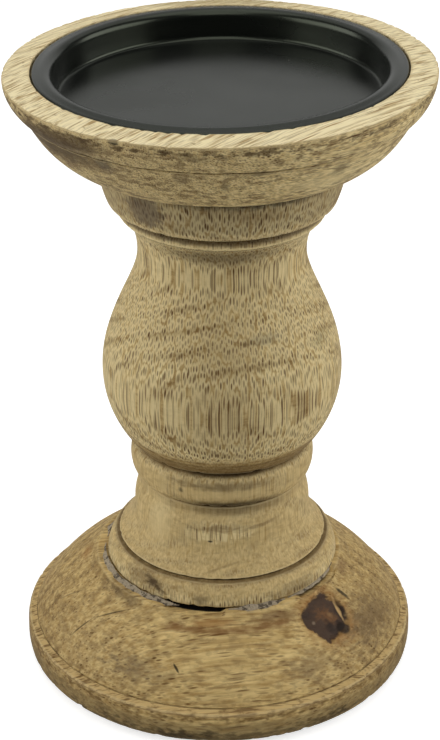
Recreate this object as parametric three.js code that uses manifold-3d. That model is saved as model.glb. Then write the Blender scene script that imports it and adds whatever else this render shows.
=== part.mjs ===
// A turned wooden pillar-candle holder: a foot, a baluster stem and a dish, glued at round tenons
// and locked by one wood screw at each joint, with a pressed steel candle plate that lifts out.
// Millimetres, +Z up. The origin is on the surface it stands on, at the centre of the foot.
import * as THREE from "three";
import { mergeVertices } from "three/addons/utils/BufferGeometryUtils.js";
import Module from "manifold-3d";

const OVERALL_HEIGHT = 157.4; // surface to the top of the plate's flange; the vase's shoulder takes it up

// Clearances
const GLUE_GAP = 0.3; // glue film between wooden shoulders, round the tenons and round the filler
const SEAT_GAP = 0.2; // between parts that rest on each other
const TENON_END_GAP = 0.6; // glue pocket at the end of a tenon
const SCREW_CLEARANCE = 0.4; // radial, where a screw passes freely
const PILOT_CLEARANCE = 0.15; // radial, round the crests of a thread
const TIP_GAP = 1.5; // pilot hole beyond a screw's tip
const PLATE_CLEARANCE = 0.6; // radial, round the plate's flange and pan

// Felt pads under the foot
const FELT_COUNT = 4;
const FELT_RADIUS = 7;
const FELT_THICKNESS = 1.5;
const FELT_CIRCLE_RADIUS = 36;

// Foot
const BASE_RADIUS = 49.55; // widest, part way up the edge
const BASE_SOLE_RADIUS = 48.8;
const BASE_EDGE_HEIGHT = 8.7; // sole to the groove round the dome
const BASE_GROOVE_RADIUS = 47.0;
const BASE_GROOVE_WIDTH = 0.7;
const DOME_HEIGHT = 15.9; // groove to the ledge that the stem stands on
const LEDGE_WIDTH = 1.8; // ledge that shows round the plinth

// Stem, from its plinth up
const PLINTH_RADIUS = 29.2;
const PLINTH_TOP_RADIUS = 26.8;
const PLINTH_HEIGHT = 5.8;
const PLINTH_GROOVE_DEPTH = 0.9;
const PLINTH_GROOVE_WIDTH = 0.7;
const FLARE_FOOT_RADIUS = 26.2;
const FLARE_HEIGHT = 8.8; // groove to the roll's widest
const ROLL_RADIUS = 22.0;
const ROLL_HEIGHT = 6.0; // roll's widest to the cove
const COVE_RADIUS = 20.8;
const COVE_HEIGHT = 2.4;
const COVE_GROOVE_DEPTH = 0.4; // cut at the top of the cove, under the bead
const COVE_GROOVE_WIDTH = 0.8;
const BEAD_RADIUS = 22.8;
const BEAD_HEIGHT = 8.8;
const BEAD_EDGE_RADIUS = 21.6;
const VASE_GROOVE_RADIUS = 21.0;
const VASE_GROOVE_WIDTH = 0.8;
const VASE_FOOT_RADIUS = 22.3;
const BELLY_RADIUS = 29.35;
const BELLY_HEIGHT = 18.8; // vase foot to the belly's widest
const NECK_RADIUS = 20.25;
const NECK_FLARE_RADIUS = 23.6;
const NECK_FLARE_HEIGHT = 9.3;
const RIDGE_RADIUS = 25.0;
const RIDGE_HEIGHT = 2.9;
const RIDGE_GROOVE_RADIUS = 24.2;
const RIDGE_GROOVE_WIDTH = 1.0;
const COLLAR_FOOT_RADIUS = 27.0;
const COLLAR_RADIUS = 28.7; // part way up
const COLLAR_TOP_RADIUS = 30.2;
const COLLAR_HEIGHT = 11.7;

// Tenons turned on the ends of the stem
const BASE_TENON_RADIUS = 11;
const BASE_TENON_LENGTH = 9;
const DISH_TENON_RADIUS = 11;
const DISH_TENON_LENGTH = 3.6;

// Dish
const DISH_RADIUS = 50;
const DISH_HEIGHT = 19.8;
const DISH_FOOT_RADIUS = 35.0;
const DISH_BAND_HEIGHT = 6.9; // rim to the groove round the side
const DISH_BAND_FOOT_RADIUS = 46.7;
const DISH_GROOVE_WIDTH = 0.6;
const DISH_GROOVE_DEPTH = 0.6;
const REBATE_DEPTH = 0.6; // sinking for the plate's flange, below the rim's outer edge
const RIM_RISE = 0.75; // from the rim's outer edge in to the rebate

// Candle plate, pressed from sheet
const PLATE_THICKNESS = 0.9;
const PLATE_FLANGE_RADIUS = 43.3;
const FLANGE_DROP = 0.5; // how far the flange's edge turns down
const PAN_RADIUS = 38.4; // inside the pan's wall
const PAN_FLOOR_RADIUS = 37.9; // inside, where the wall would meet the floor
const PAN_DEPTH = 7.2; // top of the flange to the pan's floor
const LIP_BEND = 1.9; // bend from the flange into the wall, on the face that shows
const FLOOR_BEND = 1.3; // bend from the wall into the floor, on the face that shows
const PAN_FLOOR_GAP = 0.5; // below the pan

// Wood screws and washers
const SCREW_RADIUS = 2.5; // crests of the thread
const SCREW_CORE_RADIUS = 1.7;
const THREAD_PITCH = 2.8;
const SCREW_TIP_LENGTH = 5;
const SCREW_HEAD_RADIUS = 4.8;
const SCREW_HEAD_HEIGHT = 3.0;
const SCREW_PLAIN_LENGTH = 6; // plain shank under the head
const CROSS_LENGTH = 5.2; // arms of the cross recess, tip to tip
const CROSS_WIDTH = 1.0;
const CROSS_DEPTH = 2.0;
const WASHER_RADIUS = 7.5;
const WASHER_THICKNESS = 1.2;
const BASE_SCREW_LENGTH = 45;
const DISH_SCREW_LENGTH = 32;
const COUNTERBORE_RADIUS = 9;
const BASE_COUNTERBORE_DEPTH = 7.5;
const DISH_COUNTERBORE_DEPTH = 4.8;

// Wood filler pressed into the seam round the plinth
const FILLER_HEIGHT = 0.9;

// Facets
const TURN_STEPS = 40; // round a large turned part
const SMALL_TURN_STEPS = 16; // round a pad or a washer
const SCREW_STEPS = 12; // round a screw
const THREAD_ROWS = 4; // along one pitch of a thread
const EDGE_STEPS = 2; // round an eased edge
const EASED_EDGE = 0.8; // radius of an eased arris

// Levels from the surface up to the belly
const BASE_BOTTOM = FELT_THICKNESS + SEAT_GAP;
const BASE_GROOVE_Z = BASE_BOTTOM + BASE_EDGE_HEIGHT;
const BASE_TOP = BASE_GROOVE_Z + BASE_GROOVE_WIDTH + DOME_HEIGHT;
const STEM_BOTTOM = BASE_TOP + GLUE_GAP;
const FLARE_Z = STEM_BOTTOM + PLINTH_HEIGHT + PLINTH_GROOVE_WIDTH;
const ROLL_Z = FLARE_Z + FLARE_HEIGHT;
const COVE_Z = ROLL_Z + ROLL_HEIGHT;
const BEAD_Z = COVE_Z + COVE_HEIGHT + COVE_GROOVE_WIDTH;
const VASE_Z = BEAD_Z + BEAD_HEIGHT + VASE_GROOVE_WIDTH;
const BELLY_Z = VASE_Z + BELLY_HEIGHT;

// Levels from the top down to the neck
const FLANGE_TOP = OVERALL_HEIGHT;
const REBATE_Z = FLANGE_TOP - PLATE_THICKNESS - FLANGE_DROP - SEAT_GAP;
const RIM_TOP = REBATE_Z + REBATE_DEPTH;
const DISH_BOTTOM = RIM_TOP - DISH_HEIGHT;
const STEM_TOP = DISH_BOTTOM - GLUE_GAP;
const COLLAR_Z = STEM_TOP - COLLAR_HEIGHT;
const RIDGE_Z = COLLAR_Z - RIDGE_GROOVE_WIDTH - RIDGE_HEIGHT;
const NECK_Z = RIDGE_Z - NECK_FLARE_HEIGHT;
const SHOULDER_HEIGHT = NECK_Z - BELLY_Z;

// Levels inside the dish and the foot
const PAN_FLOOR_Z = FLANGE_TOP - PAN_DEPTH;
const POCKET_Z = PAN_FLOOR_Z - PLATE_THICKNESS - PAN_FLOOR_GAP;
const DISH_COUNTERBORE_Z = POCKET_Z - DISH_COUNTERBORE_DEPTH;
const BASE_COUNTERBORE_Z = BASE_BOTTOM + BASE_COUNTERBORE_DEPTH;

// Under a head lie a gap, the washer and another gap.
const HEAD_STAND_OFF = WASHER_THICKNESS + 2 * SEAT_GAP;
const BASE_SCREW_Z = BASE_COUNTERBORE_Z - HEAD_STAND_OFF;
const DISH_SCREW_Z = DISH_COUNTERBORE_Z + HEAD_STAND_OFF;
const BASE_PILOT_END = BASE_SCREW_Z + BASE_SCREW_LENGTH + TIP_GAP;
const DISH_PILOT_END = DISH_SCREW_Z - DISH_SCREW_LENGTH - TIP_GAP;
const SCREW_HOLE_RADIUS = SCREW_RADIUS + SCREW_CLEARANCE;
const PILOT_RADIUS = SCREW_RADIUS + PILOT_CLEARANCE;

const wasm = await Module();
wasm.setup();

// An outline in the plane of radius and height, drawn anticlockwise: up the outside, in, down the inside.
class Outline {
  constructor(radius, z) {
    this.points = [new THREE.Vector2(radius, z)];
  }
  get end() {
    return this.points[this.points.length - 1];
  }
  line(radius, z) {
    this.points.push(new THREE.Vector2(radius, z));
    return this;
  }
  // A smooth stretch with a start and an end handle, in a number of straight steps.
  curve(steps, handle1, handle2, end) {
    const [a, b, c] = [handle1, handle2, end].map((p) => new THREE.Vector2(...p));
    this.points.push(...new THREE.CubicBezierCurve(this.end, a, b, c).getPoints(steps).slice(1));
    return this;
  }
  // An eased corner: the corner point is rounded off on the way to the end point.
  ease(corner, end, steps = EDGE_STEPS) {
    const [b, c] = [corner, end].map((p) => new THREE.Vector2(...p));
    this.points.push(...new THREE.QuadraticBezierCurve(this.end, b, c).getPoints(steps).slice(1));
    return this;
  }
  close() {
    this.points.push(this.points[0].clone());
    return this;
  }
}

// A solid of revolution about Z.
function turned(outline, steps = TURN_STEPS) {
  return new THREE.LatheGeometry(outline.points, steps).rotateX(Math.PI / 2);
}

function solidOf(geometry) {
  const bare = geometry.clone();
  bare.deleteAttribute("normal");
  bare.deleteAttribute("uv");
  const merged = mergeVertices(bare);
  const vertProperties = new Float32Array(merged.attributes.position.array);
  const triVerts = new Uint32Array(merged.index.array);
  return new wasm.Manifold(new wasm.Mesh({ numProp: 3, vertProperties, triVerts }));
}

function geometryOf(solid) {
  const { vertProperties, triVerts } = solid.getMesh();
  const geometry = new THREE.BufferGeometry();
  geometry.setAttribute("position", new THREE.BufferAttribute(vertProperties, 3));
  geometry.setIndex(new THREE.BufferAttribute(triVerts, 1));
  geometry.computeVertexNormals();
  return geometry;
}

// Foot: a low dome with a rounded edge, a socket for the stem above and a counterbore for the screw below.
function baseGeometry() {
  const ledge = PLINTH_RADIUS + LEDGE_WIDTH;
  const domeFoot = BASE_GROOVE_Z + BASE_GROOVE_WIDTH;
  const socketFloor = STEM_BOTTOM - BASE_TENON_LENGTH - TENON_END_GAP;
  const socket = BASE_TENON_RADIUS + GLUE_GAP;
  const edgeWidest = BASE_BOTTOM + BASE_EDGE_HEIGHT * 0.37;
  const edgeTop = BASE_GROOVE_Z - EASED_EDGE;
  const domeRun = BASE_GROOVE_RADIUS - ledge;
  return turned(
    new Outline(COUNTERBORE_RADIUS, BASE_BOTTOM)
      .line(BASE_SOLE_RADIUS - EASED_EDGE, BASE_BOTTOM)
      .ease([BASE_SOLE_RADIUS, BASE_BOTTOM], [BASE_SOLE_RADIUS + EASED_EDGE / 2, BASE_BOTTOM + EASED_EDGE])
      .ease([BASE_RADIUS, edgeWidest - EASED_EDGE], [BASE_RADIUS, edgeWidest])
      .ease([BASE_RADIUS, edgeTop], [BASE_GROOVE_RADIUS + EASED_EDGE, BASE_GROOVE_Z], 4)
      .line(BASE_GROOVE_RADIUS, BASE_GROOVE_Z + BASE_GROOVE_WIDTH / 4)
      .line(BASE_GROOVE_RADIUS + BASE_GROOVE_WIDTH / 4, domeFoot)
      .curve(
        8,
        [BASE_GROOVE_RADIUS - domeRun * 0.36, domeFoot + DOME_HEIGHT * 0.61],
        [ledge + domeRun * 0.28, BASE_TOP - DOME_HEIGHT * 0.29],
        [ledge, BASE_TOP],
      )
      .line(socket, BASE_TOP)
      .line(socket, socketFloor)
      .line(SCREW_HOLE_RADIUS, socketFloor)
      .line(SCREW_HOLE_RADIUS, BASE_COUNTERBORE_Z)
      .line(COUNTERBORE_RADIUS, BASE_COUNTERBORE_Z)
      .close(),
  );
}

// Stem: plinth, flare and roll, cove, bead, vase, ridge and collar, with a bored tenon at each end.
function stemGeometry() {
  const tenonBottom = STEM_BOTTOM - BASE_TENON_LENGTH;
  const tenonTop = STEM_TOP + DISH_TENON_LENGTH;
  const plinthTop = STEM_BOTTOM + PLINTH_HEIGHT;
  const beadTop = BEAD_Z + BEAD_HEIGHT;
  const outline = new Outline(0, BASE_PILOT_END)
    .line(PILOT_RADIUS, BASE_PILOT_END - PILOT_RADIUS)
    .line(PILOT_RADIUS, tenonBottom)
    .line(BASE_TENON_RADIUS, tenonBottom)
    .line(BASE_TENON_RADIUS, STEM_BOTTOM);
  addPlinthAndFlare(outline, plinthTop);
  addBead(outline, beadTop);
  addVase(outline);
  addCollar(outline);
  outline
    .line(DISH_TENON_RADIUS, STEM_TOP)
    .line(DISH_TENON_RADIUS, tenonTop)
    .line(PILOT_RADIUS, tenonTop)
    .line(PILOT_RADIUS, DISH_PILOT_END + PILOT_RADIUS)
    .line(0, DISH_PILOT_END);
  return turned(outline);
}

function addPlinthAndFlare(outline, plinthTop) {
  const flareRun = FLARE_FOOT_RADIUS - ROLL_RADIUS;
  outline
    .line(PLINTH_RADIUS - EASED_EDGE, STEM_BOTTOM)
    .ease([PLINTH_RADIUS, STEM_BOTTOM], [PLINTH_RADIUS, STEM_BOTTOM + EASED_EDGE])
    .ease([PLINTH_RADIUS - EASED_EDGE, STEM_BOTTOM + PLINTH_HEIGHT * 0.4], [PLINTH_TOP_RADIUS, plinthTop], 3)
    .line(FLARE_FOOT_RADIUS - PLINTH_GROOVE_DEPTH, plinthTop + PLINTH_GROOVE_WIDTH / 4)
    .line(FLARE_FOOT_RADIUS, FLARE_Z)
    .curve(
      6,
      [FLARE_FOOT_RADIUS - flareRun * 0.55, FLARE_Z + FLARE_HEIGHT * 0.25],
      [ROLL_RADIUS, ROLL_Z - FLARE_HEIGHT * 0.35],
      [ROLL_RADIUS, ROLL_Z],
    )
    .ease([ROLL_RADIUS, ROLL_Z + ROLL_HEIGHT / 2], [COVE_RADIUS, COVE_Z], 3);
}

function addBead(outline, beadTop) {
  outline
    .line(COVE_RADIUS, COVE_Z + COVE_HEIGHT)
    .line(COVE_RADIUS - COVE_GROOVE_DEPTH, COVE_Z + COVE_HEIGHT + COVE_GROOVE_WIDTH / 2)
    .line(BEAD_EDGE_RADIUS, BEAD_Z)
    .curve(
      5,
      [BEAD_RADIUS + EASED_EDGE / 2, BEAD_Z + BEAD_HEIGHT / 6],
      [BEAD_RADIUS + EASED_EDGE / 2, beadTop - BEAD_HEIGHT / 6],
      [VASE_GROOVE_RADIUS, beadTop],
    );
}

function addVase(outline) {
  outline
    .line(VASE_FOOT_RADIUS, VASE_Z)
    .curve(
      7,
      [BELLY_RADIUS, VASE_Z + BELLY_HEIGHT * 0.42],
      [BELLY_RADIUS, BELLY_Z - BELLY_HEIGHT * 0.1],
      [BELLY_RADIUS, BELLY_Z],
    )
    .curve(
      9,
      [BELLY_RADIUS, BELLY_Z + SHOULDER_HEIGHT * 0.435],
      [NECK_RADIUS, NECK_Z - SHOULDER_HEIGHT * 0.257],
      [NECK_RADIUS, NECK_Z],
    )
    .curve(
      5,
      [NECK_RADIUS, NECK_Z + NECK_FLARE_HEIGHT * 0.75],
      [NECK_FLARE_RADIUS, RIDGE_Z],
      [NECK_FLARE_RADIUS, RIDGE_Z],
    );
}

function addCollar(outline) {
  const ridgeTop = RIDGE_Z + RIDGE_HEIGHT;
  const faceMiddle = COLLAR_Z + COLLAR_HEIGHT / 3;
  outline
    .ease([RIDGE_RADIUS + EASED_EDGE, RIDGE_Z + RIDGE_HEIGHT / 2], [RIDGE_GROOVE_RADIUS, ridgeTop], 4)
    .line(COLLAR_FOOT_RADIUS - EASED_EDGE, COLLAR_Z)
    .ease([COLLAR_FOOT_RADIUS, COLLAR_Z], [COLLAR_FOOT_RADIUS + EASED_EDGE / 2, COLLAR_Z + EASED_EDGE])
    .ease([COLLAR_RADIUS, faceMiddle], [COLLAR_TOP_RADIUS, STEM_TOP], 4);
}

// Dish: a shallow bowl with a rim that falls a little outwards, a pocket for the plate and a socket for the stem.
function dishGeometry() {
  const bandFoot = RIM_TOP - DISH_BAND_HEIGHT;
  const bowlTop = bandFoot - DISH_GROOVE_WIDTH;
  const bowlHeight = bowlTop - DISH_BOTTOM;
  const bowlRun = DISH_BAND_FOOT_RADIUS - DISH_FOOT_RADIUS;
  const rebate = PLATE_FLANGE_RADIUS + PLATE_CLEARANCE;
  const pocket = PAN_RADIUS + PLATE_THICKNESS + PLATE_CLEARANCE;
  const pocketMouth = pocket + LIP_BEND;
  const socket = DISH_TENON_RADIUS + GLUE_GAP;
  const socketRoof = STEM_TOP + DISH_TENON_LENGTH + TENON_END_GAP;
  return turned(
    new Outline(socket, DISH_BOTTOM)
      .line(DISH_FOOT_RADIUS, DISH_BOTTOM)
      .curve(
        6,
        [DISH_FOOT_RADIUS + bowlRun * 0.69, DISH_BOTTOM + bowlHeight * 0.37],
        [DISH_BAND_FOOT_RADIUS - bowlRun * 0.22, bowlTop - bowlHeight * 0.19],
        [DISH_BAND_FOOT_RADIUS - DISH_GROOVE_DEPTH / 2, bowlTop],
      )
      .line(DISH_BAND_FOOT_RADIUS - DISH_GROOVE_DEPTH, bandFoot)
      .line(DISH_BAND_FOOT_RADIUS + DISH_GROOVE_DEPTH / 2, bandFoot)
      .curve(
        4,
        [DISH_BAND_FOOT_RADIUS + DISH_GROOVE_DEPTH / 2, bandFoot],
        [DISH_RADIUS, RIM_TOP - DISH_BAND_HEIGHT * 0.62],
        [DISH_RADIUS, RIM_TOP - EASED_EDGE],
      )
      .ease([DISH_RADIUS, RIM_TOP], [DISH_RADIUS - EASED_EDGE, RIM_TOP])
      .line(rebate, RIM_TOP + RIM_RISE)
      .line(rebate, REBATE_Z)
      .line(pocketMouth, REBATE_Z)
      .line(pocket, REBATE_Z - LIP_BEND)
      .line(pocket, POCKET_Z)
      .line(COUNTERBORE_RADIUS, POCKET_Z)
      .line(COUNTERBORE_RADIUS, DISH_COUNTERBORE_Z)
      .line(SCREW_HOLE_RADIUS, DISH_COUNTERBORE_Z)
      .line(SCREW_HOLE_RADIUS, socketRoof)
      .line(socket, socketRoof)
      .close(),
  );
}

// Candle plate: a pan with a flange that hangs on the rebate, pressed from one sheet.
function plateGeometry() {
  const flangeUnder = FLANGE_TOP - PLATE_THICKNESS;
  const floorUnder = PAN_FLOOR_Z - PLATE_THICKNESS;
  const outerFloorBend = FLOOR_BEND + PLATE_THICKNESS;
  const outerLipBend = LIP_BEND - PLATE_THICKNESS;
  const outerWall = PAN_RADIUS + PLATE_THICKNESS;
  const outerFloor = PAN_FLOOR_RADIUS + PLATE_THICKNESS;
  const turnDown = PLATE_FLANGE_RADIUS - PLATE_THICKNESS;
  const edgeUnder = flangeUnder - FLANGE_DROP;
  return turned(
    new Outline(0, floorUnder)
      .line(outerFloor - outerFloorBend, floorUnder)
      .ease([outerFloor, floorUnder], [outerFloor, floorUnder + outerFloorBend], 3)
      .line(outerWall, flangeUnder - outerLipBend)
      .ease([outerWall, flangeUnder], [outerWall + outerLipBend, flangeUnder], 3)
      .line(turnDown - FLANGE_DROP, flangeUnder)
      .ease([turnDown, flangeUnder], [turnDown, edgeUnder])
      .line(PLATE_FLANGE_RADIUS, edgeUnder)
      .line(PLATE_FLANGE_RADIUS, flangeUnder)
      .ease([PLATE_FLANGE_RADIUS, FLANGE_TOP], [turnDown - FLANGE_DROP, FLANGE_TOP], 3)
      .line(PAN_RADIUS + LIP_BEND, FLANGE_TOP)
      .ease([PAN_RADIUS, FLANGE_TOP], [PAN_RADIUS, FLANGE_TOP - LIP_BEND], 4)
      .line(PAN_FLOOR_RADIUS, PAN_FLOOR_Z + FLOOR_BEND)
      .ease([PAN_FLOOR_RADIUS, PAN_FLOOR_Z], [PAN_FLOOR_RADIUS - FLOOR_BEND, PAN_FLOOR_Z], 3)
      .line(0, PAN_FLOOR_Z),
  );
}

// Filler squeezed out round the foot of the plinth, on the ledge of the base.
function fillerGeometry() {
  const inner = PLINTH_RADIUS + GLUE_GAP;
  const bottom = BASE_TOP + SEAT_GAP;
  const outer = PLINTH_RADIUS + LEDGE_WIDTH;
  return turned(
    new Outline(inner, bottom)
      .line(outer, bottom)
      .ease([(inner + outer) / 2, bottom + FILLER_HEIGHT / 3], [inner, bottom + FILLER_HEIGHT])
      .close(),
  );
}

function feltGeometry() {
  const edge = FELT_THICKNESS / 4;
  return turned(
    new Outline(0, 0)
      .line(FELT_RADIUS - edge, 0)
      .line(FELT_RADIUS, edge)
      .line(FELT_RADIUS, FELT_THICKNESS - edge)
      .line(FELT_RADIUS - edge, FELT_THICKNESS)
      .line(0, FELT_THICKNESS),
    SMALL_TURN_STEPS,
  );
}

function washerGeometry() {
  return turned(
    new Outline(SCREW_HOLE_RADIUS, 0)
      .line(WASHER_RADIUS, 0)
      .line(WASHER_RADIUS, WASHER_THICKNESS)
      .line(SCREW_HOLE_RADIUS, WASHER_THICKNESS)
      .close(),
    SMALL_TURN_STEPS,
  );
}

// A pan-head wood screw, point up, with the underside of its head at the origin.
function screwGeometry(length) {
  const threadEnd = length - SCREW_TIP_LENGTH;
  const rows = Math.round(((threadEnd - SCREW_PLAIN_LENGTH) / THREAD_PITCH) * THREAD_ROWS);
  const outline = new Outline(0, -SCREW_HEAD_HEIGHT)
    .curve(
      4,
      [SCREW_HEAD_RADIUS * 0.6, -SCREW_HEAD_HEIGHT],
      [SCREW_HEAD_RADIUS, -SCREW_HEAD_HEIGHT * 0.8],
      [SCREW_HEAD_RADIUS, -SCREW_HEAD_HEIGHT / 4],
    )
    .line(SCREW_HEAD_RADIUS, 0)
    .line(SCREW_CORE_RADIUS, 0)
    .line(SCREW_CORE_RADIUS, SCREW_PLAIN_LENGTH);
  for (let row = 1; row <= rows; row++) {
    outline.line(SCREW_CORE_RADIUS, SCREW_PLAIN_LENGTH + ((threadEnd - SCREW_PLAIN_LENGTH) * row) / rows);
  }
  outline.line(0, length);
  const shaft = raiseThread(turned(outline, SCREW_STEPS), threadEnd);
  return geometryOf(crossRecess().reduce((solid, arm) => solid.subtract(arm), solidOf(shaft)));
}

// Pushes the shank's surface out along a helix, as a rolled thread stands on its core.
function raiseThread(geometry, threadEnd) {
  const position = geometry.attributes.position;
  const height = SCREW_RADIUS - SCREW_CORE_RADIUS;
  for (let i = 0; i < position.count; i++) {
    const [x, y, z] = [position.getX(i), position.getY(i), position.getZ(i)];
    if (z <= SCREW_PLAIN_LENGTH || z > threadEnd) continue;
    const turn = z / THREAD_PITCH - Math.atan2(y, x) / (2 * Math.PI);
    const fromCrest = Math.abs(turn - Math.round(turn)) * 2;
    const radius = SCREW_CORE_RADIUS + height * Math.max(0, 1 - fromCrest * 1.5);
    const scale = radius / Math.hypot(x, y);
    position.setXY(i, x * scale, y * scale);
  }
  return geometry;
}

function crossRecess() {
  return [0, Math.PI / 2].map((angle) => {
    const arm = new THREE.BoxGeometry(CROSS_LENGTH, CROSS_WIDTH, 2 * CROSS_DEPTH);
    return solidOf(arm.rotateZ(angle).translate(0, 0, -SCREW_HEAD_HEIGHT));
  });
}

const WOOD = { roughness: 0.72, metalness: 0 };
const STEEL = { color: 0xa8a69e, roughness: 0.38, metalness: 1 };
const materials = {
  base: new THREE.MeshStandardMaterial({ color: 0x97814f, ...WOOD }),
  stem: new THREE.MeshStandardMaterial({ color: 0xa68d59, ...WOOD }),
  dish: new THREE.MeshStandardMaterial({ color: 0xa39063, ...WOOD }),
  plate: new THREE.MeshStandardMaterial({ color: 0x2c2d2b, roughness: 0.5, metalness: 0.2 }),
  steel: new THREE.MeshStandardMaterial(STEEL),
  felt: new THREE.MeshStandardMaterial({ color: 0x3a332b, roughness: 1, metalness: 0 }),
  filler: new THREE.MeshStandardMaterial({ color: 0x8c8675, roughness: 0.9, metalness: 0 }),
};

const holder = new THREE.Group();

function add(name, geometry, material) {
  const mesh = new THREE.Mesh(geometry, material);
  mesh.name = name;
  holder.add(mesh);
  return mesh;
}

add("base", baseGeometry(), materials.base);
add("stem", stemGeometry(), materials.stem);
add("dish", dishGeometry(), materials.dish);
add("candle_plate", plateGeometry(), materials.plate);
add("seam_filler", fillerGeometry(), materials.filler);

add("base_screw", screwGeometry(BASE_SCREW_LENGTH), materials.steel).position.z = BASE_SCREW_Z;
add("base_washer", washerGeometry(), materials.steel).position.z = BASE_SCREW_Z + SEAT_GAP;

const dishScrew = add("dish_screw", screwGeometry(DISH_SCREW_LENGTH), materials.steel);
dishScrew.rotation.x = Math.PI;
dishScrew.position.z = DISH_SCREW_Z;
add("dish_washer", washerGeometry(), materials.steel).position.z = DISH_COUNTERBORE_Z + SEAT_GAP;

for (let i = 0; i < FELT_COUNT; i++) {
  const angle = ((i + 0.5) * 2 * Math.PI) / FELT_COUNT;
  const pad = add(`felt_pad_${i + 1}`, feltGeometry(), materials.felt);
  pad.position.set(FELT_CIRCLE_RADIUS * Math.cos(angle), FELT_CIRCLE_RADIUS * Math.sin(angle), 0);
}

export default holder;
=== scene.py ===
# %% [markdown]
# # A turned wooden candle holder
# This lesson dresses a finished construction model of a pillar-candle holder. The frame holds every part at
# its real place and size, and nothing here moves it. The turned parts, the plate, the filler and the felt
# pads are replaced by finer ones in the same place, and the screws and washers stay. Each gets the wood,
# paint, felt or zinc that the eye expects.

# %% Load the frame
import math
from collections import namedtuple

import bmesh
import bpy
from mathutils import Matrix, Vector, geometry, noise


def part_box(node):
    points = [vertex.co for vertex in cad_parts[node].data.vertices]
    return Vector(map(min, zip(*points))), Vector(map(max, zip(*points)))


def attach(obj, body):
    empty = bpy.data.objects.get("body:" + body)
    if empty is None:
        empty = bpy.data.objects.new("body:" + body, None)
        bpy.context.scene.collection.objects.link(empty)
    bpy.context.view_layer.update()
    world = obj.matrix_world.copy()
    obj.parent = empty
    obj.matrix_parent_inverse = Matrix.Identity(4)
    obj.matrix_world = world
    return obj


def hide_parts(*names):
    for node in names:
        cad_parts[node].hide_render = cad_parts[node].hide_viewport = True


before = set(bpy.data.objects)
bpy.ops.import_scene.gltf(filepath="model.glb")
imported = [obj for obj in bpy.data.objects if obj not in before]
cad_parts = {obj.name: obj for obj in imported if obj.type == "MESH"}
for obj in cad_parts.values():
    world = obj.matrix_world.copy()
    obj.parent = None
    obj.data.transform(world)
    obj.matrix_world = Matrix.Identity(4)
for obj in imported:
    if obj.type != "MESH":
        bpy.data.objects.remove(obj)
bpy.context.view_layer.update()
MM = 0.001  # the frame is in metres, and a turner works in millimetres

# %% [markdown]
# ## Camera
# The holder was photographed from above, looking down by 28 degrees from about half a metre away. A lens of
# about 100 mm gives that view: the dish is nearer than the foot, and looks a little larger.

# %% Camera
PICTURE_HEIGHT = 740  # pixels
FOCAL_LENGTH = 2124.4  # pixels
CAMERA_PLACE = (0, -463.2, 321.5)  # mm
CAMERA_PITCH = math.radians(27.73)  # looking down
SENSOR = 36  # mm, along the picture's long side

camera = bpy.data.objects.new("camera", bpy.data.cameras.new("camera"))
camera.data.sensor_width = SENSOR
camera.data.lens = SENSOR * FOCAL_LENGTH / PICTURE_HEIGHT
camera.location = Vector(CAMERA_PLACE) * MM
camera.rotation_euler = (math.pi / 2 - CAMERA_PITCH, 0, 0)
bpy.context.scene.collection.objects.link(camera)
bpy.context.scene.camera = camera
print("camera:", round(camera.data.lens, 1), "mm lens")

# %% [markdown]
# ## Nodes and colours
# Every material below is a small graph of nodes. One function adds a node, sets its properties, and either
# sets or links its inputs. A second one turns a colour as a painter writes it, in sRGB hex, into the linear
# numbers that the renderer works with.


# %% Node and colour helpers
def add(tree, kind, inputs=None, **settings):
    """Adds a node. An input is given by name or number, as a value or as the output that feeds it."""
    node = tree.nodes.new(kind)
    for name, value in settings.items():
        setattr(node, name, value)
    for socket, value in (inputs or {}).items():
        if isinstance(value, bpy.types.NodeSocket):
            tree.links.new(value, node.inputs[socket])
        else:
            node.inputs[socket].default_value = value
    return node


def linear(hex_colour):
    channels = [int(hex_colour[i : i + 2], 16) / 255 for i in (1, 3, 5)]
    return (*[c / 12.92 if c <= 0.04045 else ((c + 0.055) / 1.055) ** 2.4 for c in channels], 1)


def new_material(name):
    """An empty material and its node tree."""
    material = bpy.data.materials.new(name)
    material.use_nodes = True
    material.node_tree.nodes.clear()
    return material, material.node_tree


MIX_A, MIX_B, MIX_RESULT = 6, 7, 2  # the colour sockets of a Mix node
print("helpers ready: pale straw is", [round(c, 2) for c in linear("#d8c594")])

# %% [markdown]
# Some nodes come up again and again, so they get short names. Most of these functions return an output,
# ready to feed the next node. `clouds` returns its node, because a noise has two outputs of use: a value
# and a colour.


# %% Short names for common nodes
def mix(tree, share, first, second):
    """A blend of two colours: a share of 0 gives the first, and 1 the second."""
    colours = {0: share, MIX_A: first, MIX_B: second}
    return add(tree, "ShaderNodeMix", colours, data_type="RGBA").outputs[MIX_RESULT]


def ramp(tree, value, span=(0.0, 1.0), result=(0.0, 1.0), kind="LINEAR"):
    """Maps a span of values onto the result, and holds it beyond the ends."""
    inputs = {0: value, 1: span[0], 2: span[1], 3: result[0], 4: result[1]}
    return add(tree, "ShaderNodeMapRange", inputs, interpolation_type=kind).outputs[0]


def combine(tree, operation, *values, clamp=False):
    """One step of arithmetic."""
    step = add(tree, "ShaderNodeMath", dict(enumerate(values)), operation=operation, use_clamp=clamp)
    return step.outputs[0]


def clouds(tree, places, length, detail, **more):
    """A noise with clouds of a length, in the unit of the places."""
    shape = {0: places, "Scale": 1 / length, "Detail": detail, **more}
    return add(tree, "ShaderNodeTexNoise", shape)


def stretch(tree, places, factors):
    """Places with each axis multiplied by its own factor."""
    return add(tree, "ShaderNodeVectorMath", {0: places, 1: factors}, operation="MULTIPLY").outputs[0]


def stray(tree, places, offsets, reach):
    """Places moved by offsets, such as the colours of a noise, times the reach along each axis."""
    moved = {0: offsets, 1: reach, 2: places}
    return add(tree, "ShaderNodeVectorMath", moved, operation="MULTIPLY_ADD").outputs[0]


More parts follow.
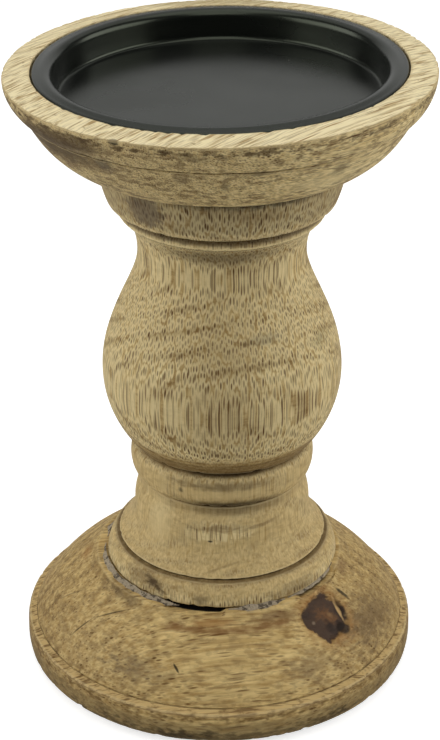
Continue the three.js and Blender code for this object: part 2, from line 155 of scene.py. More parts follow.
def bumps(tree, height, strength, depth):
    """Normals of a surface with small bumps. The depth is in millimetres."""
    relief = {"Strength": strength, "Distance": depth * MM, "Height": height}
    return add(tree, "ShaderNodeBump", relief).outputs[0]


def places_in_mm(tree):
    """Places in the piece, in millimetres."""
    coordinates = add(tree, "ShaderNodeTexCoord")
    scaled = add(tree, "ShaderNodeMapping", {0: coordinates.outputs["Object"], "Scale": (1 / MM,) * 3})
    return scaled.outputs[0]


def finish_material(tree, settings):
    """Gives the material its surface."""
    surface = add(tree, "ShaderNodeBsdfPrincipled", settings)
    add(tree, "ShaderNodeOutputMaterial", {"Surface": surface.outputs[0]})
    print("a material of", len(tree.nodes), "nodes")


NOISE_SPAN = (0.3, 0.7)  # where most values of a noise lie
print("most of a noise lies between", NOISE_SPAN[0], "and", NOISE_SPAN[1])

# %% [markdown]
# ## Studio
# The holder stands on a white sheet before a wide bright backdrop, with a large soft light at each side, one
# overhead and a weaker one above the camera. So the round stem is brightest towards its edges, the grooves at
# the front are deep, and the paint of the plate shows the backdrop as a grey sheen. The sheet glows a little
# for the camera alone, which makes it white in the picture without adding light to the wood.

# %% Floor and world
FLOOR_SIZE = 6.0  # m
FLOOR_GLOW = 0.7
FLOOR_WHITE = linear("#d2d2d0")
AMBIENT = 0.02

floor_mesh = bmesh.new()
bmesh.ops.create_grid(floor_mesh, x_segments=1, y_segments=1, size=FLOOR_SIZE / 2)
floor = bpy.data.objects.new("floor", bpy.data.meshes.new("floor"))
floor_mesh.to_mesh(floor.data)
floor_mesh.free()
bpy.context.scene.collection.objects.link(floor)

paper, tree = new_material("white paper sheet")
path = add(tree, "ShaderNodeLightPath")
matt = add(tree, "ShaderNodeBsdfDiffuse", {"Color": FLOOR_WHITE})
seen = add(tree, "ShaderNodeMath", {0: path.outputs["Is Camera Ray"], 1: FLOOR_GLOW}, operation="MULTIPLY")
glow = add(tree, "ShaderNodeEmission", {"Strength": seen.outputs[0]})
both = add(tree, "ShaderNodeAddShader", {0: matt.outputs[0], 1: glow.outputs[0]})
add(tree, "ShaderNodeOutputMaterial", {"Surface": both.outputs[0]})
floor.data.materials.append(paper)

world = bpy.data.worlds.new("white studio")
bpy.context.scene.world = world
world.use_nodes = True
tree = world.node_tree
tree.nodes.clear()
path = add(tree, "ShaderNodeLightPath")
dim = add(tree, "ShaderNodeBackground", {"Strength": AMBIENT})
white = add(tree, "ShaderNodeBackground", {"Strength": 1.0})
for background in (dim, white):
    background.inputs["Color"].default_value = (1, 1, 1, 1)
shown = {0: path.outputs["Is Camera Ray"], 1: dim.outputs[0], 2: white.outputs[0]}
sky = add(tree, "ShaderNodeMixShader", shown)
add(tree, "ShaderNodeOutputWorld", {"Surface": sky.outputs[0]})
bpy.context.scene.view_settings.view_transform = "Standard"
print("floor and world ready")

# %% Soft lights
SoftLight = namedtuple("SoftLight", "name place width height watts")
SOFT_LIGHTS = [
    SoftLight("left", (-0.64, -0.08, 0.36), 0.7, 0.5, 2.8),
    SoftLight("right", (0.64, -0.08, 0.36), 0.7, 0.5, 2.8),
    SoftLight("overhead", (0.0, 0.0, 1.0), 0.8, 0.8, 2.7),
    SoftLight("high back", (0.0, 0.75, 1.1), 1.6, 0.7, 2.2),
    SoftLight("low back", (0.0, 1.0, 0.48), 1.8, 0.5, 1.75),
    SoftLight("above camera", (0.0, -0.7, 0.9), 0.6, 0.6, 1.8),
]
AIM = Vector((0, 0, 0.08))

for light in SOFT_LIGHTS:
    lamp = bpy.data.objects.new(light.name, bpy.data.lights.new(light.name, "AREA"))
    lamp.data.shape = "RECTANGLE"
    lamp.data.size = light.width
    lamp.data.size_y = light.height
    lamp.data.energy = light.watts
    lamp.location = light.place
    lamp.rotation_euler = (AIM - lamp.location).to_track_quat("-Z", "Y").to_euler()
    bpy.context.scene.collection.objects.link(lamp)
print("lights:", [light.name for light in SOFT_LIGHTS])

# %% [markdown]
# ## Turning
# Every wooden part was made on a lathe, so half of its section says everything about its shape. The section
# is drawn as a chain of points: straight cuts, and Bezier stretches for the swells and hollows. Spinning the
# chain about Z gives the part. The chain is drawn anticlockwise, up the outside and down the inside, so the
# wood is always on its left.
#
# Each point also keeps a number, `bare`: 1 on a face that was skimmed last and shows raw wood, 0 on one that
# was stained and waxed. Along a stretch it changes evenly up to the value given for the end.


# %% Outline of a turned section
class Outline:
    """Half of a turned section, as points of radius and height in millimetres."""

    def __init__(self, radius, height):
        self.points = [Vector((radius, 0, height))]
        self.bare = [0.0]

    def line(self, radius, height, steps=1, bare=0.0):
        start, end = self.points[-1], Vector((radius, 0, height))
        return self._extend([start.lerp(end, (i + 1) / steps) for i in range(steps)], bare)

    def curve(self, handle_1, handle_2, end, steps, bare=0.0):
        """A Bezier stretch with two handles."""
        ends = [Vector((radius, 0, height)) for radius, height in (handle_1, handle_2, end)]
        return self._extend(geometry.interpolate_bezier(self.points[-1], *ends, steps + 1)[1:], bare)

    def ease(self, corner, end, steps=4, bare=0.0):
        """Rounds off a corner on the way to the end point."""
        start, corner, end = self.points[-1], Vector((corner[0], 0, corner[1])), Vector((end[0], 0, end[1]))
        handles = start.lerp(corner, 2 / 3), end.lerp(corner, 2 / 3)
        return self._extend(geometry.interpolate_bezier(start, *handles, end, steps + 1)[1:], bare)

    def _extend(self, points, bare):
        first = self.bare[-1]
        self.points += points
        self.bare += [first + (bare - first) * (i + 1) / len(points) for i in range(len(points))]
        return self


outline_sample = Outline(10, 0).line(12, 0).ease((14, 0), (14, 2))
print("an eased corner has", len(outline_sample.points), "points")

# %% [markdown]
# Dirt and wax stay in the grooves, and handling rubs the arrises pale. The materials also paint shade into
# grooves and hollows, and highlights onto arrises. So each point also gets a number for how far it stands out
# from the straight line between its neighbours a short way off: above zero on an arris, below zero in a
# groove. `bend` looks half a millimetre to either side and finds thin lines, `hollow` looks further and finds
# wide shaded corners.
# The materials read them as attributes of the mesh.
#
# A spin of hundreds of steps is slow. So one eighth of the turn is spun, copied round and welded together.

# %% Spin an outline into a part
BEND_REACH = 0.5  # mm along the outline to either side
HOLLOW_REACH = 4.0  # mm
SECTORS = 8


def point_along(points, start, reach):
    """The point of a chain that lies the given way along it from one of its points."""
    step = 1 if reach > 0 else -1
    left = abs(reach)
    i = start
    while 0 <= i + step < len(points):
        run = (points[i + step] - points[i]).length
        if run >= left:
            return points[i].lerp(points[i + step], left / run)
        left -= run
        i += step
    return points[i]


def stand_out(points, reach):
    """How far each point stands out from the chord between its neighbours, as a share of the reach."""
    found = []
    for i, point in enumerate(points):
        before = point_along(points, i, -reach)
        chord = point_along(points, i, reach) - before
        out = Vector((chord.z, 0, -chord.x)).normalized()
        found.append((point - before).dot(out) / reach)
    return found


def spin_part(outline, steps, closed):
    """A bmesh of the outline turned once round Z, with its numbers on the vertices."""
    bm = bmesh.new()
    numbers = {
        "bend": stand_out(outline.points, BEND_REACH),
        "hollow": stand_out(outline.points, HOLLOW_REACH),
        "bare": outline.bare,
    }
    layers = [bm.verts.layers.float.new(name) for name in numbers]
    chain = [bm.verts.new(point * MM) for point in outline.points]
    for layer, values in zip(layers, numbers.values()):
        for vert, value in zip(chain, values):
            vert[layer] = value
    pairs = list(zip(chain, chain[1:])) + ([(chain[-1], chain[0])] if closed else [])
    edges = [bm.edges.new(pair) for pair in pairs]
    bmesh.ops.spin(
        bm,
        geom=chain + edges,
        cent=(0, 0, 0),
        axis=(0, 0, 1),
        dvec=(0, 0, 0),
        angle=2 * math.pi / SECTORS,
        steps=steps // SECTORS,
    )
    sector = bm.verts[:] + bm.edges[:] + bm.faces[:]
    for i in range(1, SECTORS):
        copied = bmesh.ops.duplicate(bm, geom=sector)["geom"]
        verts = [item for item in copied if isinstance(item, bmesh.types.BMVert)]
        bmesh.ops.rotate(bm, verts=verts, matrix=Matrix.Rotation(2 * math.pi * i / SECTORS, 3, "Z"))
    bmesh.ops.remove_doubles(bm, verts=bm.verts, dist=MM / 1000)
    bmesh.ops.recalc_face_normals(bm, faces=bm.faces)
    bm.normal_update()
    return bm


# %% [markdown]
# A finished bmesh becomes an object. It rides on one of the two bodies of the holder, the stand or the loose
# plate, and takes the place of one part of the frame.


# %% Make a piece
def finish_piece(bm, name, material, body, node, sharp_angle=40):
    """Makes the bmesh an object that rides on a body, and stands for a part of the frame."""
    mesh = bpy.data.meshes.new(name)
    bm.to_mesh(mesh)
    bm.free()
    mesh.shade_smooth()
    mesh.set_sharp_from_angle(angle=math.radians(sharp_angle))
    mesh.materials.append(material)
    piece = bpy.data.objects.new(name, mesh)
    bpy.context.scene.collection.objects.link(piece)
    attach(piece, body)
    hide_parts(node)
    print(name, "has", sum(len(face.vertices) - 2 for face in mesh.polygons), "triangles")
    return piece


# %% [markdown]
# Hand turning and sanding leave a surface that is never quite true. `weather` moves each vertex along its
# normal by a slow wave, and breaks small chips out of the arrises where a noise passes a threshold. Both come
# from Blender's fixed Perlin noise, so every run gives the same wood.

# %% Weather a turned surface
WAVE_LENGTH = 9.0  # mm
WAVE_DEPTH = 0.05  # mm
CHIP_LENGTH = 2.0  # mm
CHIP_LEVEL = 0.12  # the noise breaks out above this
FINE_CHIPS, FINE_CHIP_SHARE = 2.3, 0.5  # how much finer the small chips are, and how deep
ARRIS_GAIN = 4.0  # how soon a bend counts as a full arris


def weather(bm, chip_depth):
    bend_layer = bm.verts.layers.float["bend"]
    for vert in bm.verts:
        place = vert.co / MM
        wave = noise.noise(place / WAVE_LENGTH) * WAVE_DEPTH
        fine = noise.noise(place / CHIP_LENGTH * FINE_CHIPS) * FINE_CHIP_SHARE
        rough = noise.noise(place / CHIP_LENGTH) + fine
        arris = min(1.0, max(0.0, vert[bend_layer] * ARRIS_GAIN))
        vert.co += vert.normal * (wave - max(0.0, rough - CHIP_LEVEL) * arris * chip_depth) * MM


print("weathering moves a surface by up to", WAVE_DEPTH, "mm")

# %% [markdown]
# Nor is a hand-made piece quite centred. The tenons fit, but the outside of the stem sits half a millimetre
# to the right of them, and that of the foot a little to the left. The rim of the dish was skimmed out of
# square: it is 1.7 mm higher on the right than on the left, and the plate lies on it.

# %% Shift a turned surface
STEM_SHIFT = 0.5  # mm to the right
FOOT_SHIFT = -0.35  # mm
CENTRED_RADIUS = 12.0  # mm, so that tenons and screw holes stay where they are
RIM_LEAN = math.tan(math.radians(0.95))


def shift_outside(bm, shift):
    for vert in bm.verts:
        if vert.co.to_2d().length > CENTRED_RADIUS * MM:
            vert.co.x += shift * MM


print("the rim rises by", round(RIM_LEAN * 100, 2), "mm across the dish")

# %% [markdown]
# ## Mango wood
# Mango is a pale, coarse wood. Its pores are long tubes along the grain, so where a cut runs along them they
# show as dark dashes, and where the cut crosses them they show as dots. Painting that on a surface would be
# hard. A solid pattern in space does it by itself: the turned surface cuts through it like a blade.
#
# A `Grain` says which way the fibres run, where the pith of the tree lay, and the colours of one piece. The
# first step turns places in the piece so that the grain stands along Z, with the pith at zero, and lets the
# fibres wander a little as they do in a tree.

# %% Fibres
Grain = namedtuple(
    "Grain",
    "name along pith ring_width ring_start ring_dark wander pale brown dull bare streak fibre_width"
    " pore_spacing pore_length pore_depth fine_pores halo bare_pores mottle cross_dark grime",
)
WANDER_LENGTH = 30.0  # mm over which the fibres wander


def fibre_space(tree, grain, places):
    """Places in millimetres with the grain along Z and the pith at zero."""
    turn = Vector(grain.along).to_track_quat("Z", "Y").to_matrix().inverted()
    middle = turn @ Vector(grain.pith) + Vector((grain.wander / 2, grain.wander / 2, 0))
    upright = add(tree, "ShaderNodeMapping", {0: places, "Location": -middle, "Rotation": turn.to_euler()})
    drift = clouds(tree, upright.outputs[0], WANDER_LENGTH, 2.0)
    return stray(tree, upright.outputs[0], drift.outputs["Color"], (grain.wander, grain.wander, 0))


print("fibres wander over", WANDER_LENGTH, "mm")

# %% [markdown]
# A tree adds a ring each season. Between two rings the wood is darker and its pores show more. The ring
# lines are found from the distance to the pith, and a slow noise lets them come and go along their length.

# %% Growth rings
RING_FADE_LENGTH = 11.0  # mm
RING_FADE_SPAN = (0.36, 0.6)  # of the noise, from the faintest line to a full one
RING_FAINT = 0.1
RING_LINE_WIDTH = 0.32  # of a ring, to either side


def ring_lines(tree, grain, fibres):
    """Near 1 on the lines between growth rings, and 0 away from them."""
    across = stretch(tree, fibres, (1, 1, 0))
    radius = add(tree, "ShaderNodeVectorMath", {0: across}, operation="LENGTH").outputs["Value"]
    ring = {0: radius, 1: grain.ring_start, 2: grain.ring_start + grain.ring_width}
    count = add(tree, "ShaderNodeMapRange", ring, clamp=False)
    to_line = combine(tree, "PINGPONG", count.outputs[0], 0.5)
    fade = clouds(tree, fibres, RING_FADE_LENGTH, 2.0)
    strength = ramp(tree, fade.outputs[0], RING_FADE_SPAN, (RING_FAINT, 1.0))
    return ramp(tree, to_line, (RING_LINE_WIDTH, 0.0), (0.0, strength), "SMOOTHSTEP")


print("ring lines come and go over", RING_FADE_LENGTH, "mm")

# %% [markdown]
# The pores are the cells of a Voronoi texture. In the foot they are short, so the cells are stretched along
# the grain. In the stem and the dish they run right through the piece, so there the cells lie in the plane
# across the grain. Around the middle of each cell lies a dark tube, and the random colour of the cell makes
# some tubes wider than others. In mango a sleeve of pale wood lies round every tube, which makes the pores
# stand out.

# %% Pores
PORE_CORE, PORE_NARROW, PORE_WIDE = 0.14, 0.3, 0.48  # radius in cells: dark core, narrowest and widest wall
SLEEVE_EDGE = 0.68  # radius in cells where the pale sleeve ends
PORE_FAINT = 0.4  # darkness of the palest tube
PORE_ROW = 1.15  # how much longer than wide the endless tubes are across the grain
PORE_WAVER = 0.6  # mm that a pore strays from a straight line
WAVER_LENGTH = 6.0  # mm


def pore_masks(tree, fibres, spacing, length):
    """Masks of the pores and of their pale sleeves. Spacing and length are in mm, and length 0 is endless."""
    waver = clouds(tree, fibres, WAVER_LENGTH, 1.0)
    bent = stray(tree, fibres, waver.outputs["Color"], (PORE_WAVER, PORE_WAVER, 0.0))
    if length:
        cells = stretch(tree, bent, (1 / spacing, 1 / spacing, 1 / length))
    else:
        cells = stretch(tree, bent, (1 / spacing, 1 / spacing / PORE_ROW, 0.0))
    flat_or_solid = "3D" if length else "2D"
    settings = {"Vector": cells, "Scale": 1.0}
    tubes = add(tree, "ShaderNodeTexVoronoi", settings, voronoi_dimensions=flat_or_solid)
    distance = tubes.outputs["Distance"]
    rank = add(tree, "ShaderNodeSeparateColor", {0: tubes.outputs["Color"]})
    wall = ramp(tree, rank.outputs[0], result=(PORE_NARROW, PORE_WIDE))
    shade = ramp(tree, rank.outputs[1], result=(PORE_FAINT, 1.0))
    pore = ramp(tree, distance, (wall, PORE_CORE), (0.0, shade), "SMOOTHSTEP")
    sleeve = ramp(tree, distance, (SLEEVE_EDGE, PORE_WIDE), (0.0, 1.0), "SMOOTHSTEP")
    return pore, sleeve


print("pores take up to", PORE_WIDE, "of a cell")

# %% [markdown]
# Some marks belong to one spot: a knot, a crack, a stain. Others are painted shade or a painted highlight.
# Each is an ellipsoid in space with a ragged edge, and tints the wood that lies inside it. A long thin one is
# a crack, and a wide flat one a stained band or a band of painted shade. A mark can also be a block with
# corners, like the end of a branch that was squeezed as the tree grew.

# %% Marks on the wood
Mark = namedtuple("Mark", "place along size colour strength softness ragged square", defaults=[False])
CORNER_EASE = 0.7  # how round the corners of a block are, in half widths
UP = (0.0, 0.0, 1.0)
RIGHT = (1.0, 0.0, 0.0)
BACK = (0.0, 1.0, 0.0)


def band(level, reach, half_height, colour, strength, softness, ragged):
    """A flat mark that runs right round a piece at a level."""
    size = (reach, reach, half_height)
    return Mark((0.0, 0.0, level), RIGHT, size, colour, strength, softness, ragged)


def marks_round(turns, radius, level, *settings):
    """Marks in a row round a piece, each lying along the row. The turns are degrees round Z."""
    start = Vector((radius, 0.0, level))
    row = [Matrix.Rotation(math.radians(turn), 3, "Z") @ start for turn in turns]
    return [Mark(place, place.cross(UP), *settings) for place in row]


def mark_mask(tree, mark, places, jag):
    """The strength of a mark inside it, fading to 0 at its ragged edge."""
    turn = Vector(mark.along).to_track_quat("X", "Z").to_euler()
    frame_of_mark = {0: places, "Location": mark.place, "Rotation": turn, "Scale": mark.size}
    inside = add(tree, "ShaderNodeMapping", frame_of_mark, vector_type="TEXTURE")
    rough = stray(tree, inside.outputs[0], jag, (mark.ragged,) * 3)
    if mark.square:
        sides = add(tree, "ShaderNodeVectorMath", {0: rough}, operation="ABSOLUTE")
        split = add(tree, "ShaderNodeSeparateXYZ", {0: sides.outputs[0]})
        reach = combine(tree, "SMOOTH_MAX", split.outputs[0], split.outputs[1], CORNER_EASE)
    else:
        reach = add(tree, "ShaderNodeVectorMath", {0: rough}, operation="LENGTH").outputs["Value"]
    return ramp(tree, reach, (1.0, 1.0 - mark.softness), (0.0, mark.strength), "SMOOTHSTEP")


print("a mark has", len(Mark._fields), "settings")

# %% [markdown]
# The wood is put together in layers, as a finisher would see them, with a function for each. A `Cut` holds
# what the layers share: the places, the fibres, the ring lines and the noises. The first layer is the waxed
# wood: pale and brown fibres, duller on ring lines, in blotches and where the cut crosses the fibres.

# %% Waxed wood
Cut = namedtuple("Cut", "tree grain places fibres lines strand ragged jag blotch")
FIBRE_SPAN = (0.34, 0.68)  # of the noise, from pale to brown fibres
FIBRE_BROWN = 0.85  # share of brown in the darkest fibre
BLOTCH_SPAN = (0.94, 1.18)  # of two noises added up
CROSS_SPAN = (0.3, 1.0)  # from a cut along the fibres to one across them


def waxed_wood(cut):
    tree, grain = cut.tree, cut.grain
    brown = ramp(tree, cut.strand, FIBRE_SPAN, (0.0, FIBRE_BROWN))
    waxed = mix(tree, brown, linear(grain.pale), linear(grain.brown))
    cloud = combine(tree, "ADD", cut.blotch, cut.ragged)
    mottle = ramp(tree, cloud, BLOTCH_SPAN, (0.0, grain.mottle), "SMOOTHSTEP")
    normal = add(tree, "ShaderNodeTexCoord").outputs["Normal"]
    axis = Vector(grain.along).normalized()
    facing = add(tree, "ShaderNodeVectorMath", {0: normal, 1: axis}, operation="DOT_PRODUCT")
    crossing = combine(tree, "ABSOLUTE", facing.outputs["Value"])
    cross = ramp(tree, crossing, CROSS_SPAN, (0.0, grain.cross_dark))
    dull = combine(tree, "MULTIPLY_ADD", cut.lines, grain.ring_dark, mottle)
    dull = combine(tree, "ADD", dull, cross, clamp=True)
    return mix(tree, dull, waxed, linear(grain.dull))


print("the darkest fibres are", FIBRE_BROWN, "brown")

# %% [markdown]
# The skimmed faces show raw wood with brown streaks. Where they meet the wax, the stain left a ragged brown
# edge: a noise moves the place where the attribute `bare` counts as raw.

# %% Skimmed faces
EDGE_BROWN = "#6b4a22"
EDGE_SPAN, EDGE_SHARE = (0.08, 0.4), 0.75  # levels of `bare` over which the edge darkens
RAW_SPAN = (0.4, 0.52)  # levels over which raw wood begins
RAW_UNEVEN = (0.45, 1.55)  # how the noise moves those levels
STREAK_SPAN = (0.5, 0.66)


def skim(cut, waxed):
    """The wood with its skimmed faces, and a mask of them."""
    tree, grain = cut.tree, cut.grain
    bare = add(tree, "ShaderNodeAttribute", attribute_name="bare").outputs["Fac"]
    level = combine(tree, "MULTIPLY", bare, ramp(tree, cut.ragged, NOISE_SPAN, RAW_UNEVEN))
    edge = ramp(tree, level, EDGE_SPAN, (0.0, EDGE_SHARE))
    raw = ramp(tree, level, RAW_SPAN)
    edged = mix(tree, edge, waxed, linear(EDGE_BROWN))
    streak = ramp(tree, cut.strand, STREAK_SPAN)
    raw_wood = mix(tree, streak, linear(grain.bare), linear(grain.streak))
    return mix(tree, raw, edged, raw_wood), raw


print("raw wood begins at a level of", RAW_SPAN[0])

# %% [markdown]
# Then come the pores: large ones with pale sleeves, and fine ones. They are darkest on the ring lines, where
# the sleeves fade, and in a few spots where wax never filled them.

# %% Open pores
FINE_PORE_SPACING, FINE_PORE_LENGTH = 0.55, 5.0  # mm
PORE_BROWN = "#5c3806"
SLEEVE_STRAW = "#ecd9a4"
PORE_ON_LINE = 0.6  # how much darker a pore is on a ring line
SLEEVE_ON_LINE = 0.4  # how pale a sleeve stays on a ring line


def cut_pores(cut, wood, raw, open_pores):
    """The wood with its pores, and a mask of them."""
    tree, grain = cut.tree, cut.grain
    large, sleeve = pore_masks(tree, cut.fibres, grain.pore_spacing, grain.pore_length)
    small, _ = pore_masks(tree, cut.fibres, FINE_PORE_SPACING, FINE_PORE_LENGTH)
    depth = combine(tree, "MULTIPLY_ADD", cut.lines, PORE_ON_LINE, grain.pore_depth)
    for spot in open_pores:
        depth = combine(tree, "ADD", depth, mark_mask(tree, spot, cut.places, cut.jag), clamp=True)
    deep = combine(tree, "MULTIPLY", large, depth)
    faint = combine(tree, "MULTIPLY", small, grain.fine_pores)
    kept = ramp(tree, raw, result=(1.0, grain.bare_pores))
    pores = combine(tree, "MULTIPLY", combine(tree, "MAXIMUM", deep, faint), kept)
    light = ramp(tree, cut.lines, result=(grain.halo, grain.halo * SLEEVE_ON_LINE))
    pale = combine(tree, "MULTIPLY", combine(tree, "MULTIPLY", sleeve, depth), light)
    sleeved = mix(tree, pale, wood, linear(SLEEVE_STRAW))
    return mix(tree, pores, sleeved, linear(PORE_BROWN)), pores


print("fine pores lie", FINE_PORE_SPACING, "mm apart")

# %% [markdown]
# Last come painted shade in wide hollows, pale arrises, and dark in the grooves that comes and goes along
# them.
# The arrises are partly rubbed pale by handling and partly a painted highlight. The grooves hold dirt,
# deepened to stand for shade. The attributes `hollow` and `bend` say where each belongs.

# %% Wear and painted light
SHADE_BROWN = "#5e4728"
ARRIS_WEAR_AND_HIGHLIGHT = "#d3bd8c"
GROOVE_DIRT_AND_SHADE = "#2c2013"
HOLLOW_SPAN, HOLLOW_SHADE = (-0.1, -0.6), 0.6
ARRIS_SPAN, ARRIS_PALE = (0.1, 0.35), 0.6
GROOVE_SPAN = (-0.16, -0.42)
PATCHY_SPAN, PATCHY_LEAST = (0.35, 0.62), 0.5


def wear_and_painted_light(cut, colour):
    tree = cut.tree
    bend = add(tree, "ShaderNodeAttribute", attribute_name="bend").outputs["Fac"]
    hollow = add(tree, "ShaderNodeAttribute", attribute_name="hollow").outputs["Fac"]
    patchy = ramp(tree, cut.blotch, PATCHY_SPAN, (PATCHY_LEAST, 1.0))
    # hollows get painted shade, arrises rubbed wood and a painted highlight, grooves dirt and painted shade
    layers = (
        (hollow, HOLLOW_SPAN, HOLLOW_SHADE, SHADE_BROWN),
        (bend, ARRIS_SPAN, ARRIS_PALE, ARRIS_WEAR_AND_HIGHLIGHT),
        (bend, GROOVE_SPAN, cut.grain.grime, GROOVE_DIRT_AND_SHADE),
    )
    for number, span, strength, tint in layers:
        found = ramp(tree, number, span, (0.0, strength), "SMOOTHSTEP")
        colour = mix(tree, combine(tree, "MULTIPLY", found, patchy), colour, linear(tint))
    return colour


# the dark in a groove is dirt, deepened by painted shade
print("dirt lies where a groove bends by", -GROOVE_SPAN[0], "or more")

# %% [markdown]
# Now the layers go on top of each other: the marks, painted shade among them, come between the pores and the
# wear and painted light. Pores and fibres also make the surface slightly uneven, and the wax leaves it matt.

# %% Mango wood
FIBRE_LENGTH = 14.0  # mm
MOTTLE_LENGTH = 5.0  # mm
MOTTLE_STRETCH = (1.0, 1.0, 2.4)  # blotches lie flat, as the tool went round
RAGGED_LENGTH = 2.2  # mm
FIBRE_RELIEF = 0.4  # height of the fibres beside the depth of a pore
RELIEF_STRENGTH, RELIEF_DEPTH = 0.7, 0.15  # depth in mm
WAX_ROUGHNESS = (0.58, 0.72)


def cut_wood(tree, grain):
    """What the layers of one piece share."""
    places = places_in_mm(tree)
    fibres = fibre_space(tree, grain, places)
    lines = ring_lines(tree, grain, fibres)
    thin = stretch(tree, fibres, (1 / grain.fibre_width, 1 / grain.fibre_width, 1 / FIBRE_LENGTH))
    strand = clouds(tree, thin, 1.0, 3.0).outputs[0]
    flat = stretch(tree, places, MOTTLE_STRETCH)
    ragged = clouds(tree, flat, RAGGED_LENGTH, 4.0)
    centred = {0: ragged.outputs["Color"], 1: (0.5,) * 3}
    jag = add(tree, "ShaderNodeVectorMath", centred, operation="SUBTRACT").outputs[0]
    blotch = clouds(tree, flat, MOTTLE_LENGTH, 6.0, Roughness=0.65).outputs[0]
    return Cut(tree, grain, places, fibres, lines, strand, ragged.outputs[0], jag, blotch)


def mango_wood(grain, marks, open_pores):
    """Turned and waxed mango: matt, coarse, with open pores, dirt and painted shade in the grooves and
    hollows, pale arrises partly painted as highlights, and marks, some of them painted shade.
    """
    material, tree = new_material(grain.name)
    cut = cut_wood(tree, grain)
    wood, raw = skim(cut, waxed_wood(cut))
    colour, pores = cut_pores(cut, wood, raw, open_pores)
    for mark in marks:
        mask = mark_mask(tree, mark, cut.places, cut.jag)
        colour = mix(tree, mask, colour, linear(mark.colour))
    colour = wear_and_painted_light(cut, colour)
    height = combine(tree, "MULTIPLY_ADD", cut.strand, FIBRE_RELIEF, combine(tree, "MULTIPLY", pores, -1.0))
    settings = {
        "Base Color": colour,
        "Roughness": ramp(tree, cut.strand, NOISE_SPAN, WAX_ROUGHNESS),
        "IOR": 1.5,
        "Specular IOR Level": 0.2,
        "Normal": bumps(tree, height, RELIEF_STRENGTH, RELIEF_DEPTH),
    }
    finish_material(tree, settings)
    return material


# %% [markdown]
# ## Foot
# The foot is a low dome cut from a board, so its grain lies flat. A thin groove runs round the dome above a
# rounded edge that was skimmed bare, and a narrow ledge at the top carries the stem. Underneath is a
# counterbore for the screw. Widest points and levels come from the frame; the smaller steps are the turner's.

# %% Foot: sizes and outline
foot_low, foot_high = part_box("base")
FOOT_RADIUS = foot_high.x / MM
FOOT_BOTTOM = foot_low.z / MM
FOOT_TOP = foot_high.z / MM
FOOT_STEPS = 400
SOLE_RADIUS = 48.8
FOOT_WIDEST_Z = FOOT_BOTTOM + 3.2
RING_FOOT_RADIUS = 49.35
RING_FOOT_Z = FOOT_BOTTOM + 7.3
RING_TOP_RADIUS = 47.6
FOOT_GROOVE_RADIUS = 47.05
FOOT_GROOVE_Z = FOOT_BOTTOM + 8.6
LEDGE_RADIUS = 31.0
LEDGE_INNER = 26.0
SOCKET_RADIUS = 11.3
SOCKET_FLOOR = FOOT_TOP - 9.3
SCREW_HOLE_RADIUS = 2.9
COUNTERBORE_RADIUS = 9.0
COUNTERBORE_TOP = FOOT_BOTTOM + 7.5

dome_foot = FOOT_GROOVE_Z + 0.25
dome_run = FOOT_GROOVE_RADIUS - LEDGE_RADIUS
dome_rise = FOOT_TOP - dome_foot
foot_outline = (
    Outline(COUNTERBORE_RADIUS, FOOT_BOTTOM)
    .line(SOLE_RADIUS - 0.8, FOOT_BOTTOM, 10)
    .ease((SOLE_RADIUS, FOOT_BOTTOM), (SOLE_RADIUS + 0.4, FOOT_BOTTOM + 0.8))
    .ease((FOOT_RADIUS, FOOT_WIDEST_Z - 0.8), (FOOT_RADIUS, FOOT_WIDEST_Z), 6)
    .ease((FOOT_RADIUS, RING_FOOT_Z - 1), (RING_FOOT_RADIUS, RING_FOOT_Z), 8)
    .ease(
        (RING_FOOT_RADIUS - 0.1, RING_FOOT_Z + 0.4),
        (RING_FOOT_RADIUS - 0.5, RING_FOOT_Z + 0.75),
        5,
        bare=1.0,
    )
    .ease((RING_TOP_RADIUS + 0.8, FOOT_GROOVE_Z - 0.5), (RING_TOP_RADIUS, FOOT_GROOVE_Z - 0.2), 5, bare=1.0)
    .line(FOOT_GROOVE_RADIUS, FOOT_GROOVE_Z, 2)
    .line(FOOT_GROOVE_RADIUS + 0.1, dome_foot, 1)
    .line(FOOT_GROOVE_RADIUS - 0.05, dome_foot + 0.3, 1)
    .curve(
        (FOOT_GROOVE_RADIUS - dome_run * 0.36, dome_foot + dome_rise * 0.61),
        (LEDGE_RADIUS + dome_run * 0.28, FOOT_TOP - dome_rise * 0.29),
        (LEDGE_RADIUS + 0.3, FOOT_TOP - 0.2),
        44,
    )
    .ease((LEDGE_RADIUS, FOOT_TOP), (LEDGE_RADIUS - 0.5, FOOT_TOP), 3)
    .line(SOCKET_RADIUS, FOOT_TOP, 8)
    .line(SOCKET_RADIUS, SOCKET_FLOOR)
    .line(SCREW_HOLE_RADIUS, SOCKET_FLOOR)
    .line(SCREW_HOLE_RADIUS, COUNTERBORE_TOP)
    .line(COUNTERBORE_RADIUS, COUNTERBORE_TOP)
)
print("foot:", len(foot_outline.points), "points in its outline")

# %% [markdown]
# The foot's one dark knot fell on the right of the dome. The wood round it is stained orange-brown, a pale
# sliver lies beside it, and short drying cracks run along the grain on the left.

# %% Foot: marks and wood
KNOT_PLACE = (26.6, -25.3, 22.7)
KNOT_ALONG = (0.72, -0.26, -0.63)
KNOT_SIZE = (5.5, 5.9, 5.4)
KNOT_BROWN = "#43332a"
BLACK_BROWN = "#241b14"
CRACK_BROWN = "#46351d"
STAIN_ORANGE = "#9a6a34"
SEAM_DEGREES = range(-113, -86, 5)  # round Z, where the seam at the front is open
ARC_DEGREES = range(-108, -62, 9)  # round Z, where a brown arc lies on the dome

